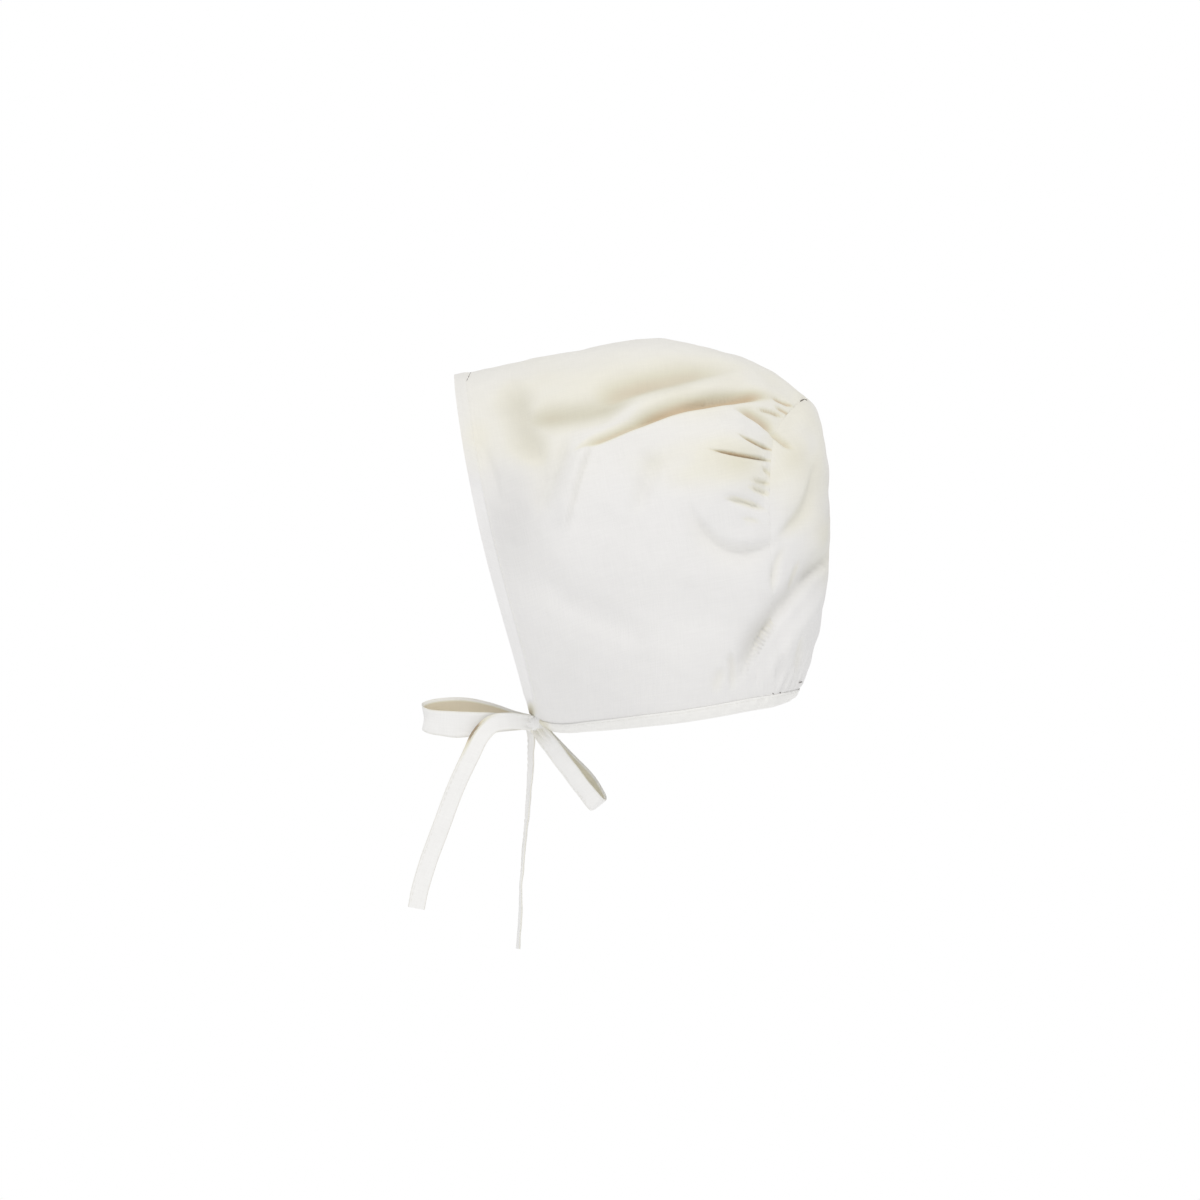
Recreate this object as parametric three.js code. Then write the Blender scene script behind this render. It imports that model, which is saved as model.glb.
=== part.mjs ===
import * as THREE from "three";

// A baby's bonnet in millimetres, +Z up, filled out as it is on a head.
// The face opening looks along -X, the nape is at +X, and the bow's side is -Y.
// The inside of the crown touches z = 0 above the origin.

const CLOTH = 1.2; // wall of the panels
const TAPE = 1.0; // wall of the binding and of the ties
const GAP = 0.35; // air between neighbouring pieces
const HEM_WIDTH = 5.9; // turned hem along the face
const HEM_RISE = 0.5;
const BINDING_UP = 3.9; // how far the binding laps up over the cloth
const BINDING_DOWN = 2.2; // how far it goes below the edge of the cloth
const BINDING_LIP = 1.1; // height of the rounded lower edge of the binding
const BINDING_BEVEL = 0.6; // how far that edge is rounded in
const BINDING_CLEAR = 0.6; // air under the edge of the cloth inside the binding
const SIDE_COLUMNS = 48; // strips from the neck to the crown on one side
const ABOVE_BINDING = 6.9; // where the even strips start, measured from the neck edge
const BACK_COLUMNS = 14; // strips across the back panel
const BACK_WRAP = 59; // degrees the back panel turns on each side
const CLOTH_COLOUR = 0xebe6d9;
const TAPE_COLOUR = 0xf1eee6;

// One row per rib, from the face (at 0) to the back seam (at 1).
// top: point on the crown line; neck: point on the neck edge, neckHalf from the middle;
// half and drop: the widest half width and how far below the crown it is;
// bow: how far the rib leans out of its straight line, most at the share bowAt of its height.
const RIBS = [
  { at: 0.0, topX: -86.2, topZ: -14.0, neckX: -54.4, neckZ: -155.4, neckHalf: 6.5,
    half: 54, drop: 66, bow: -3.0, bowAt: 0.45 },
  { at: 0.06, topX: -77.4, topZ: -12.0, neckX: -45.8, neckZ: -161.8, neckHalf: 10,
    half: 56.5, drop: 67, bow: -2.8, bowAt: 0.44 },
  { at: 0.25, topX: -49.4, topZ: -6.2, neckX: -28, neckZ: -161.3, neckHalf: 27,
    half: 62, drop: 69, bow: -2.0, bowAt: 0.4 },
  { at: 0.5, topX: -12.4, topZ: 0.6, neckX: -2.5, neckZ: -158.5, neckHalf: 42,
    half: 65, drop: 71, bow: 0.0, bowAt: 0.35 },
  { at: 0.6, topX: 2.4, topZ: 1.0, neckX: 7.6, neckZ: -157.3, neckHalf: 42.9,
    half: 64, drop: 70, bow: -0.8, bowAt: 0.31 },
  { at: 0.75, topX: 24.6, topZ: -3.3, neckX: 22.5, neckZ: -155.0, neckHalf: 41.5,
    half: 60, drop: 66, bow: -3.0, bowAt: 0.25 },
  { at: 0.9, topX: 47.0, topZ: -11.8, neckX: 37, neckZ: -152.4, neckHalf: 35.5,
    half: 53, drop: 56, bow: -8.0, bowAt: 0.2 },
  { at: 1.0, topX: 61.6, topZ: -23.4, neckX: 46.6, neckZ: -151.0, neckHalf: 29,
    half: 47, drop: 47, bow: -13.0, bowAt: 0.17 },
];

// The outline of the back panel seen from the side: x at height z, in the middle of the back.
const BACK_LINE = [
  { at: -154, x: 52.6 },
  { at: -150, x: 56.2 },
  { at: -146, x: 59.0 },
  { at: -133.4, x: 63.4 },
  { at: -120.8, x: 66.4 },
  { at: -108.2, x: 68.8 },
  { at: -95.6, x: 70.6 },
  { at: -83, x: 71.3 },
  { at: -70.4, x: 71.0 },
  { at: -51.5, x: 70.2 },
  { at: -38.9, x: 68.5 },
  { at: -32.6, x: 66.9 },
  { at: -26.3, x: 64.2 },
  { at: -22, x: 60.4 },
];

// Folds in the cloth, each along a bend through three points seen from the side.
// lift: height of a ridge or, below zero, depth of a valley; reach: half its width.
const FOLDS = [
  // The deep crease over the puff, the ridge above it, and a soft valley along the crown.
  { from: [-24, -41], by: [6, -29.0], to: [41, -22.8], lift: -3.8, reach: 3.6 },
  { from: [-26, -36], by: [4, -23.0], to: [38, -16.5], lift: 2.2, reach: 4.2 },
  { from: [-44, -33], by: [-6, -19.6], to: [30, -12], lift: -2.8, reach: 4.6 },
  // The temple dent, the long ridge of the side with a fainter crease, and one beside the hem.
  { from: [-53, -22], by: [-50.5, -41], to: [-46, -64], lift: -4.2, reach: 6.2 },
  { from: [-28, -39], by: [-36, -59], to: [-41.5, -82], lift: 1.8, reach: 4.6 },
  { from: [0, -46], by: [-4.5, -58], to: [-10, -72], lift: -1.2, reach: 4.2 },
  { from: [-74.8, -41], by: [-71, -54], to: [-66.5, -68], lift: -1.5, reach: 3.8 },
  // The hollow under the puff, and its way on round the back.
  { from: [12, -69], by: [27, -87.5], to: [51, -83], lift: -2.4, reach: 4.4 },
  { from: [49, -83], by: [60, -70], to: [66, -50], lift: -1.7, reach: 4.0 },
  // The crease across the seam, and the pleats that run into it.
  { from: [31, -29], by: [44.9, -36.8], to: [55.5, -46], lift: -1.6, reach: 3.6 },
  { from: [20, -39], by: [28, -36.6], to: [38, -38], lift: 1.2, reach: 4 },
  { from: [19, -46], by: [34.4, -49.0], to: [46, -51], lift: -1.9, reach: 3.6 },
  { from: [32, -40], by: [40, -43.5], to: [46, -46], lift: -1.1, reach: 3.2 },
  { from: [40, -23], by: [47, -25], to: [54, -27.5], lift: -1.1, reach: 3.2 },
  { from: [24, -65], by: [35.7, -68.7], to: [44, -72], lift: -1.2, reach: 3.4 },
  // The diagonal fold of the nape, the ridge behind it, and a short fold up from it.
  { from: [68, -89], by: [47, -112.5], to: [31, -139], lift: -3.0, reach: 4.2 },
  { from: [71, -98], by: [55.5, -119], to: [42, -141], lift: 1.7, reach: 4.2 },
  { from: [52.5, -85], by: [48, -95], to: [46.6, -107], lift: -1.3, reach: 2.6 },
  // Short folds that rise from the gathered binding.
  { from: [29.2, -147], by: [30, -137.6], to: [28, -129], lift: -1.7, reach: 2.8 },
  { from: [21.6, -148], by: [24, -141], to: [25.5, -136], lift: -1.1, reach: 2.8 },
  { from: [40.5, -147], by: [39.4, -139], to: [38, -131], lift: -1.1, reach: 2.6 },
  { from: [48.7, -147], by: [49.6, -134], to: [50, -121], lift: -1.1, reach: 2.6 },
  { from: [56.5, -140], by: [57.8, -130], to: [58, -121], lift: -1.2, reach: 2.6 },
];

const PUFF = { x: 26, z: -52, reachX: 21.5, reachZ: 29, lift: 4.4 };
const GATHERS = { every: 3, depth: 0.9, rise: 2.2, fade: 9, lowest: -92, start: 14 };

// How a rib curves in to the neck, and how its lean grows from the crown.
const NECK_POWER = 2.2;
const LEAN_POWER = 0.8;
const LINE_STEPS = { side: 40, crown: 48 };

// Where folds die away: over this share of their length at each end, from this much of their lift.
const FOLD_ENDS = { share: 0.22, left: 0.15 };
const FOLD_STEPS = 8;
const STILL_AT_SEAM = 4; // the seam and the crown line keep still, and folds grow within these
const STILL_AT_CROWN = 14;
const BACK_COLUMN_WIDTH = 7;
const MIDDLE_OF_HEAD = { x: 8, z: -78, flatten: 0.8 };
const CROWN_SEAM_DIRECTION = { x: 0.62, z: 0.78 };
const GROW_OVER_BINDING = 2.5; // columns over which the folds grow above the binding
const PUFF_STEEPNESS = 1.15;
const HEM_SOFTNESS = 0.5; // share of the folds' lift that is left beside the hem
const RIB_STEP = 0.1; // share of the way between two ribs over which widths are measured
const SEAM_AIR = GAP + 0.1;
// From the seam into the back panel: along most of it, and at the neck edge.
const INTO_BACK = new THREE.Vector3(0.5, 0.75, -0.45);
const INTO_BACK_AT_NECK = new THREE.Vector3(1, 0.85, 0);
// The back panel's neck edge rises in the middle, less on each column up to the last.
const NAPE_RISE = { lift: 2, columns: 12 };
const BACK_GATHERS = { share: 0.6, spacing: 0.75 };
const BACK_STILL = { top: 3, edge: 1.2 };
const BINDING_END = { along: 0.2, high: 0.5 }; // share of the first row it laps, and of its height there
const TAPE_EDGE = { flat: 0.9, thick: 0.5 }; // where a tape's faces end, and how thick its edge is

// The ties: along their own line from the knot, near the viewer, up across the line, and wide.
const FRONT_LOOP = [
  { along: 0.4, near: 2.1, up: 0.3, wide: 4.8 },
  { along: 6, near: 3.6, up: 0.4, wide: 6.4 },
  { along: 16, near: 5.4, up: 0.2, wide: 9.2 },
  { along: 28, near: 6.0, up: -0.4, wide: 11.2 },
  { along: 38, near: 5.4, up: 0.4, wide: 10.6 },
  { along: 42.0, near: 3.4, up: 1.4, wide: 10 },
  { along: 42.8, near: 0.4, up: 2.4, wide: 9.8 },
  { along: 41.6, near: -2.5, up: 3.9, wide: 9.6 },
  { along: 36, near: -4.4, up: 5.3, wide: 9.5 },
  { along: 26, near: -5.0, up: 5.6, wide: 9.4 },
  { along: 16, near: -4.4, up: 4.2, wide: 8.2 },
  { along: 6, near: -2.8, up: 1.7, wide: 6.0 },
  { along: 0.4, near: -1.7, up: 0.5, wide: 4.8 },
];
const REAR_LOOP = [
  { along: 0.6, near: 2.1, up: -0.4, wide: 4.8 },
  { along: 7, near: 4.2, up: -0.6, wide: 7.1 },
  { along: 17, near: 4.8, up: -0.8, wide: 7.4 },
  { along: 28, near: 4.6, up: -1.0, wide: 7.5 },
  { along: 37.4, near: 3.0, up: -0.9, wide: 7.4 },
  { along: 40.4, near: 0.4, up: 0.1, wide: 7.3 },
  { along: 38.2, near: -2.2, up: 1.7, wide: 7.2 },
  { along: 29, near: -3.6, up: 2.2, wide: 7.2 },
  { along: 17, near: -3.4, up: 0.9, wide: 7.0 },
  { along: 7, near: -2.2, up: 0.2, wide: 6.4 },
  { along: 0.6, near: -1.3, up: 0.0, wide: 4.4 },
];
const FRONT_TAIL = [
  { x: -56.0, y: -8.0, z: -160.4, wide: 5.2, turn: 0 },
  { x: -63.5, y: -12.4, z: -159.6, wide: 6.7, turn: 0 },
  { x: -70.0, y: -13.8, z: -160.0, wide: 7.3, turn: 4 },
  { x: -75.2, y: -14.0, z: -165.0, wide: 7.5, turn: 8 },
  { x: -79.2, y: -13.6, z: -173.2, wide: 7.3, turn: 10 },
  { x: -85.6, y: -12.6, z: -187.0, wide: 7.1, turn: 8 },
  { x: -91.6, y: -11.6, z: -203.0, wide: 7.1, turn: 4 },
  { x: -96.8, y: -11.0, z: -217.0, wide: 7.0, turn: 2 },
  { x: -100.4, y: -11.0, z: -229.0, wide: 6.9, turn: 4 },
  { x: -102.0, y: -11.2, z: -237.2, wide: 6.8, turn: 6 },
];
const REAR_TAIL = [
  { x: -55.3, y: -3.8, z: -165.1, wide: 4.8, turn: 60 },
  { x: -54.8, y: -3.4, z: -171.0, wide: 6.4, turn: 70 },
  { x: -54.6, y: -3.2, z: -182.0, wide: 6.9, turn: 76 },
  { x: -55.6, y: -3.4, z: -199.0, wide: 6.9, turn: 80 },
  { x: -56.9, y: -3.6, z: -212.0, wide: 6.9, turn: 79 },
  { x: -58.4, y: -3.9, z: -228.0, wide: 6.9, turn: 84 },
  { x: -58.5, y: -4.0, z: -237.0, wide: 6.8, turn: 88 },
  { x: -59.6, y: -4.0, z: -254.4, wide: 6.8, turn: 82 },
];
const FAR_TIE = [
  { x: -51.2, y: 7.4, z: -162.8, wide: 4.2 },
  { x: -52.0, y: 5.6, z: -162.4, wide: 4.6 },
  { x: -52.7, y: 3.2, z: -161.7, wide: 4.8 },
  { x: -53.1, y: 0.2, z: -161.2, wide: 4.4 },
];
const KNOT = { x: -53.5, y: -4.5, z: -160.9, halfX: 3.5, halfY: 4.2, halfZ: 3.5, groove: 0.45 };
const KNOT_FORM = { around: 20, rings: 11, square: 0.8, grooveAt: 0.52, grooveReach: 0.16 };
const KNOT_SLANT = { x: 0.85, z: 0.5 }; // the knot's grooves run across this direction
const SECTIONS = { loop: 33, frontTail: 27, rearTail: 21, farTie: 9 };
const REAR_LOOP_ANGLE = -52; // degrees, where 180 is straight forward

const clamp = (value, low, high) => Math.min(high, Math.max(low, value));
const mix = (a, b, share) => a + (b - a) * share;
const ease = (value) => {
  const share = clamp(value, 0, 1);
  return share * share * (3 - 2 * share);
};

// A column of a table at a place between its rows, along a smooth curve through them.
function read(table, column, at) {
  const place = clamp(at, table[0].at, table[table.length - 1].at);
  let row = 0;
  while (row < table.length - 2 && place > table[row + 1].at) row += 1;
  const slope = (low, high) =>
    (table[high][column] - table[low][column]) / (table[high].at - table[low].at);
  const step = table[row + 1].at - table[row].at;
  const here = slope(row, row + 1);
  const before = row > 0 ? slope(row - 1, row + 1) : here;
  const after = row < table.length - 2 ? slope(row, row + 2) : here;
  const share = (place - table[row].at) / step;
  const a = share * share * (2 * share - 3) + 1;
  const b = share * (share - 1) * (share - 1);
  const c = share * share * (share - 1);
  return table[row][column] * a + before * step * b + table[row + 1][column] * (1 - a) + after * step * c;
}

// A smooth curve through the rows of a table, read at even steps of the rows' own number.
function smoothRows(rows, count) {
  const numbered = rows.map((row, index) => ({ ...row, at: index }));
  const made = [];
  for (let i = 0; i < count; i += 1) {
    const at = ((rows.length - 1) * i) / (count - 1);
    const row = {};
    for (const column of Object.keys(rows[0])) row[column] = read(numbered, column, at);
    made.push(row);
  }
  return made;
}

// One rib of the main panel from the neck edge up to the crown, on the -Y side, as a fine line.
function ribLine(at) {
  const rib = {};
  for (const column of Object.keys(RIBS[0])) rib[column] = read(RIBS, column, at);
  const height = rib.topZ - rib.neckZ;
  const line = [];
  const put = (depth, half) => {
    const share = depth / height;
    const rise = (share / rib.bowAt) ** LEAN_POWER;
    const fall = (share - rib.bowAt) / (1 - rib.bowAt);
    const lean = share < rib.bowAt ? Math.sin((Math.PI / 2) * rise) : (1 + Math.cos(Math.PI * fall)) / 2;
    const x = mix(rib.topX, rib.neckX, share) + rib.bow * lean;
    line.push(new THREE.Vector3(x, -half, rib.topZ - depth));
  };
  for (let i = LINE_STEPS.side; i > 0; i -= 1) {
    const share = i / LINE_STEPS.side;
    put(rib.drop + (height - rib.drop) * share, mix(rib.half, rib.neckHalf, share ** NECK_POWER));
  }
  for (let i = LINE_STEPS.crown; i >= 0; i -= 1) {
    const angle = ((Math.PI / 2) * i) / LINE_STEPS.crown;
    put(rib.drop * (1 - Math.cos(angle)), rib.half * Math.sin(angle));
  }
  return line;
}

// Points of a fine line: at the edge, at the top of the binding, then evenly up to its end.
function columnsOf(line, columns) {
  const lengths = [0];
  for (let i = 1; i < line.length; i += 1) {
    lengths.push(lengths[i - 1] + line[i].distanceTo(line[i - 1]));
  }
  const whole = lengths[lengths.length - 1];
  const points = [];
  for (let i = 0; i <= columns; i += 1) {
    const even = ABOVE_BINDING + ((whole - ABOVE_BINDING) * (i - 2)) / (columns - 2);
    const along = i === 0 ? 0 : i === 1 ? BINDING_UP : Math.min(even, whole);
    let k = 1;
    while (k < line.length - 1 && lengths[k] < along) k += 1;
    const share = (along - lengths[k - 1]) / (lengths[k] - lengths[k - 1]);
    points.push(line[k - 1].clone().lerp(line[k], share));
  }
  return points;
}

// The rows of the main panel: some are a set distance from the face or from the seam.
const ROWS = [
  { front: 0 },
  { front: HEM_WIDTH },
  { front: HEM_WIDTH + HEM_RISE },
  { at: 0.12 },
  { at: 0.19 },
  { at: 0.26 },
  { at: 0.33 },
  { at: 0.41 },
  { at: 0.49 },
  { at: 0.57 },
  { at: 0.65 },
  { at: 0.72 },
  { at: 0.78 },
  { at: 0.84 },
  { back: 9.5 },
  { back: 5.5 },
  { back: 2.4 },
  { back: 0 },
];

const frontRib = columnsOf(ribLine(0), SIDE_COLUMNS);
const frontNext = columnsOf(ribLine(RIB_STEP), SIDE_COLUMNS);
const seamRib = columnsOf(ribLine(1), SIDE_COLUMNS);
const seamNext = columnsOf(ribLine(1 - RIB_STEP), SIDE_COLUMNS);

// Where a row crosses a column, as the share of the way from the face to the seam.
function shareOf(row, column) {
  if (row.at !== undefined) return row.at;
  const fromFace = row.front !== undefined;
  const [rib, next] = fromFace ? [frontRib, frontNext] : [seamRib, seamNext];
  const step = RIB_STEP / rib[column].distanceTo(next[column]);
  return fromFace ? step * row.front : 1 - step * row.back;
}

const mirrored = (point) => new THREE.Vector3(point.x, -point.y, point.z);

// A grid's outward direction at each point, from its neighbours.
function directionsOf(grid) {
  const rows = grid.length;
  const columns = grid[0].length;
  return grid.map((line, j) =>
    line.map((point, i) => {
      const alongRows = grid[Math.min(j + 1, rows - 1)][i].clone().sub(grid[Math.max(j - 1, 0)][i]);
      const alongColumns = line[Math.min(i + 1, columns - 1)].clone().sub(line[Math.max(i - 1, 0)]);
      const direction = alongRows.cross(alongColumns).normalize();
      const above = (point.z - MIDDLE_OF_HEAD.z) * MIDDLE_OF_HEAD.flatten;
      const outward = new THREE.Vector3(point.x - MIDDLE_OF_HEAD.x, point.y, above);
      return direction.dot(outward) < 0 ? direction.negate() : direction;
    }),
  );
}

// How far a fold lifts the cloth at a point seen from the side.
function foldLift(fold, x, z) {
  let nearest = Infinity;
  let where = 0;
  const bend = (share) => {
    const back = 1 - share;
    return [0, 1].map((side) => {
      const pull = 2 * fold.by[side] - (fold.from[side] + fold.to[side]) / 2;
      return back * back * fold.from[side] + 2 * back * share * pull + share * share * fold.to[side];
    });
  };
  for (let k = 0; k < FOLD_STEPS; k += 1) {
    const [ax, az] = bend(k / FOLD_STEPS);
    const [bx, bz] = bend((k + 1) / FOLD_STEPS);
    const length2 = (bx - ax) ** 2 + (bz - az) ** 2;
    const share = clamp(((x - ax) * (bx - ax) + (z - az) * (bz - az)) / length2, 0, 1);
    const distance = Math.hypot(x - mix(ax, bx, share), z - mix(az, bz, share));
    if (distance < nearest) {
      nearest = distance;
      where = (k + share) / FOLD_STEPS;
    }
  }
  const fade = (share) => ease(share / FOLD_ENDS.share + FOLD_ENDS.left);
  return fold.lift * fade(where) * fade(1 - where) * Math.exp(-((nearest / fold.reach) ** 2));
}

const foldsAt = (x, z) => FOLDS.reduce((sum, fold) => sum + foldLift(fold, x, z), 0);

// Small gathers that run into the seam, in the upper part of the back.
function gatherLift(step, z, toSeam) {
  const upper = ease((z - GATHERS.lowest) / GATHERS.start);
  const wave = Math.cos((2 * Math.PI * step) / GATHERS.every);
  const fall = (1 - Math.exp(-toSeam / GATHERS.rise)) * Math.exp(-toSeam / GATHERS.fade);
  return GATHERS.depth * upper * wave * fall;
}

function mainSurface() {
  const across = 2 * SIDE_COLUMNS;
  const base = ROWS.map((row) => {
    const line = [];
    for (let i = 0; i <= across; i += 1) {
      const column = Math.min(i, across - i);
      const point = columnsOf(ribLine(shareOf(row, column)), SIDE_COLUMNS)[column];
      line.push(i > SIDE_COLUMNS ? mirrored(point) : point);
    }
    return line;
  });
  return { base, directions: directionsOf(base) };
}

function backSurface() {
  const wrap = THREE.MathUtils.degToRad(BACK_WRAP);
  const steps = [0, 1, 2];
  for (let k = 4; k < SIDE_COLUMNS; k += 2) steps.push(k);
  const base = steps.map((k) => {
    const seam = seamRib[k];
    const run = seamRib[Math.min(k + 1, SIDE_COLUMNS)].clone().sub(seamRib[Math.max(k - 1, 0)]);
    run.normalize();
    // Square to the seam, into the back panel, which lies behind, inside and below its edge.
    const inward = INTO_BACK.clone().addScaledVector(run, -INTO_BACK.dot(run)).normalize();
    if (k === 0) inward.copy(INTO_BACK_AT_NECK);
    const edge = seam.clone().addScaledVector(inward, k === 0 ? GAP : SEAM_AIR);
    const middle = read(BACK_LINE, "x", edge.z);
    const line = [];
    for (let i = 0; i <= BACK_COLUMNS; i += 1) {
      const share = (2 * i) / BACK_COLUMNS - 1;
      const angle = share * wrap;
      const out = (Math.cos(angle) - Math.cos(wrap)) / (1 - Math.cos(wrap));
      const lift = NAPE_RISE.lift * (1 - share * share) * (1 - ease(k / NAPE_RISE.columns));
      const x = mix(edge.x, middle, out);
      line.push(new THREE.Vector3(x, (-edge.y * Math.sin(angle)) / Math.sin(wrap), edge.z + lift));
    }
    return line;
  });
  return { base, directions: directionsOf(base), steps };
}

const main = mainSurface();
const back = backSurface();

// Both panels turn by the same amount at their seam, so the air between them stays even.
const lastRow = ROWS.length - 1;
back.steps.forEach((k, j) => {
  for (const [mainColumn, backColumn] of [[k, 0], [2 * SIDE_COLUMNS - k, BACK_COLUMNS]]) {
    const shared = main.directions[lastRow][mainColumn].clone();
    shared.add(back.directions[j][backColumn]).normalize();
    main.directions[lastRow][mainColumn].copy(shared);
    back.directions[j][backColumn].copy(shared);
  }
});
for (let k = 3; k < SIDE_COLUMNS - 1; k += 2) {
  for (const i of [k, 2 * SIDE_COLUMNS - k]) {
    const around = main.directions[lastRow];
    around[i].copy(around[i - 1].clone().add(around[i + 1]).normalize());
  }
}
main.directions[lastRow][SIDE_COLUMNS].set(CROWN_SEAM_DIRECTION.x, 0, CROWN_SEAM_DIRECTION.z);

// Lifts a grid by its folds and gives the inside of the cloth as well.
function clothFrom(surface, liftAt) {
  const outer = surface.base.map((line, j) =>
    line.map((point, i) => point.clone().addScaledVector(surface.directions[j][i], liftAt(point, j, i))),
  );
  const inner = outer.map((line, j) =>
    line.map((point, i) => point.clone().addScaledVector(surface.directions[j][i], -CLOTH)),
  );
  return { outer, inner };
}

function mainLift(point, j, i) {
  const column = Math.min(i, 2 * SIDE_COLUMNS - i);
  const toSeam = seamRib[column].distanceTo(new THREE.Vector3(point.x, -Math.abs(point.y), point.z));
  const overBinding = ease((column - 1) / GROW_OVER_BINDING);
  const puffX = (point.x - PUFF.x) / PUFF.reachX;
  const puffZ = (point.z - PUFF.z) / PUFF.reachZ;
  const puff = PUFF.lift * ease(PUFF_STEEPNESS * (1 - Math.hypot(puffX, puffZ)));
  const atSeam = ease(toSeam / STILL_AT_SEAM);
  const overCrown = ease(Math.abs(point.y) / STILL_AT_CROWN);
  const soft = (foldsAt(point.x, point.z) * overCrown + puff) * atSeam;
  const hem = j < 2 ? HEM_RISE * ease((column - 2) / 2) : 0;
  const besideHem = j < 3 ? HEM_SOFTNESS : 1;
  return overBinding * (soft + gatherLift(column, point.z, toSeam)) * besideHem + hem;
}

function backLift(point, j, i) {
  const fromEdge = Math.min(i, BACK_COLUMNS - i);
  const overBinding = ease((j - 1) / 2);
  const top = ease((back.steps.length - 1 - j) / BACK_STILL.top);
  const toSeam = fromEdge * BACK_COLUMN_WIDTH;
  const step = back.steps[j] * BACK_GATHERS.spacing;
  const gathers = BACK_GATHERS.share * gatherLift(step, point.z, toSeam);
  const offEdge = ease(fromEdge / BACK_STILL.edge);
  return overBinding * top * offEdge * (foldsAt(point.x, point.z) + gathers);
}

const mainCloth = clothFrom(main, mainLift);
const backCloth = clothFrom(back, backLift);

// Turns the faces outward when their order came out the other way round.
function closedGeometry(positions, faces) {
  let volume = 0;
  const a = new THREE.Vector3();
  const b = new THREE.Vector3();
  const c = new THREE.Vector3();
  for (const [p, q, r] of faces) {
    a.fromArray(positions, 3 * p);
    b.fromArray(positions, 3 * q);
    c.fromArray(positions, 3 * r);
    volume += a.dot(b.cross(c));
  }
  const geometry = new THREE.BufferGeometry();
  geometry.setAttribute("position", new THREE.Float32BufferAttribute(positions, 3));
  geometry.setIndex(faces.flatMap(([p, q, r]) => (volume < 0 ? [p, r, q] : [p, q, r])));
  geometry.computeVertexNormals();
  return geometry;
}

// A closed wall between an outer and an inner grid.
function wallOf({ outer, inner }) {
  const rows = outer.length;
  const columns = outer[0].length;
  const positions = [];
  for (const line of [...outer, ...inner]) for (const point of line) positions.push(...point.toArray());
  const at = (side, j, i) => side * rows * columns + j * columns + i;
  const faces = [];
  const quad = (p, q, r, s) => faces.push([p, q, r], [p, r, s]);
  for (let j = 0; j < rows - 1; j += 1) {
    for (let i = 0; i < columns - 1; i += 1) {
      const outside = [at(0, j, i), at(0, j, i + 1), at(0, j + 1, i + 1), at(0, j + 1, i)];
      const inside = [at(1, j, i), at(1, j + 1, i), at(1, j + 1, i + 1), at(1, j, i + 1)];
      for (const [p, q, r, s] of [outside, inside]) {
        // The far half is split across the other corners, so the two sides are mirror images.
        if (i < (columns - 1) / 2) quad(p, q, r, s);
        else quad(q, r, s, p);
      }
    }
    quad(at(0, j, 0), at(0, j + 1, 0), at(1, j + 1, 0), at(1, j, 0));
    const end = columns - 1;
    quad(at(0, j + 1, end), at(0, j, end), at(1, j, end), at(1, j + 1, end));
  }
  for (let i = 0; i < columns - 1; i += 1) {
    quad(at(0, 0, i + 1), at(0, 0, i), at(1, 0, i), at(1, 0, i + 1));
    const end = rows - 1;
    quad(at(0, end, i), at(0, end, i + 1), at(1, end, i + 1), at(1, end, i));
  }
  return closedGeometry(positions, faces);
}

// A closed bar through a line of sections that all have the same number of corners.
function barOf(sections) {
  const corners = sections[0].length;
  const positions = sections.flatMap((section) => section.flatMap((point) => point.toArray()));
  const faces = [];
  for (let j = 0; j < sections.length - 1; j += 1) {
    for (let i = 0; i < corners; i += 1) {
      const next = (i + 1) % corners;
      const low = j * corners;
      const high = low + corners;
      faces.push([low + i, low + next, high + next], [low + i, high + next, high + i]);
    }
  }
  return { positions, faces, corners, last: (sections.length - 1) * corners };
}

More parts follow.
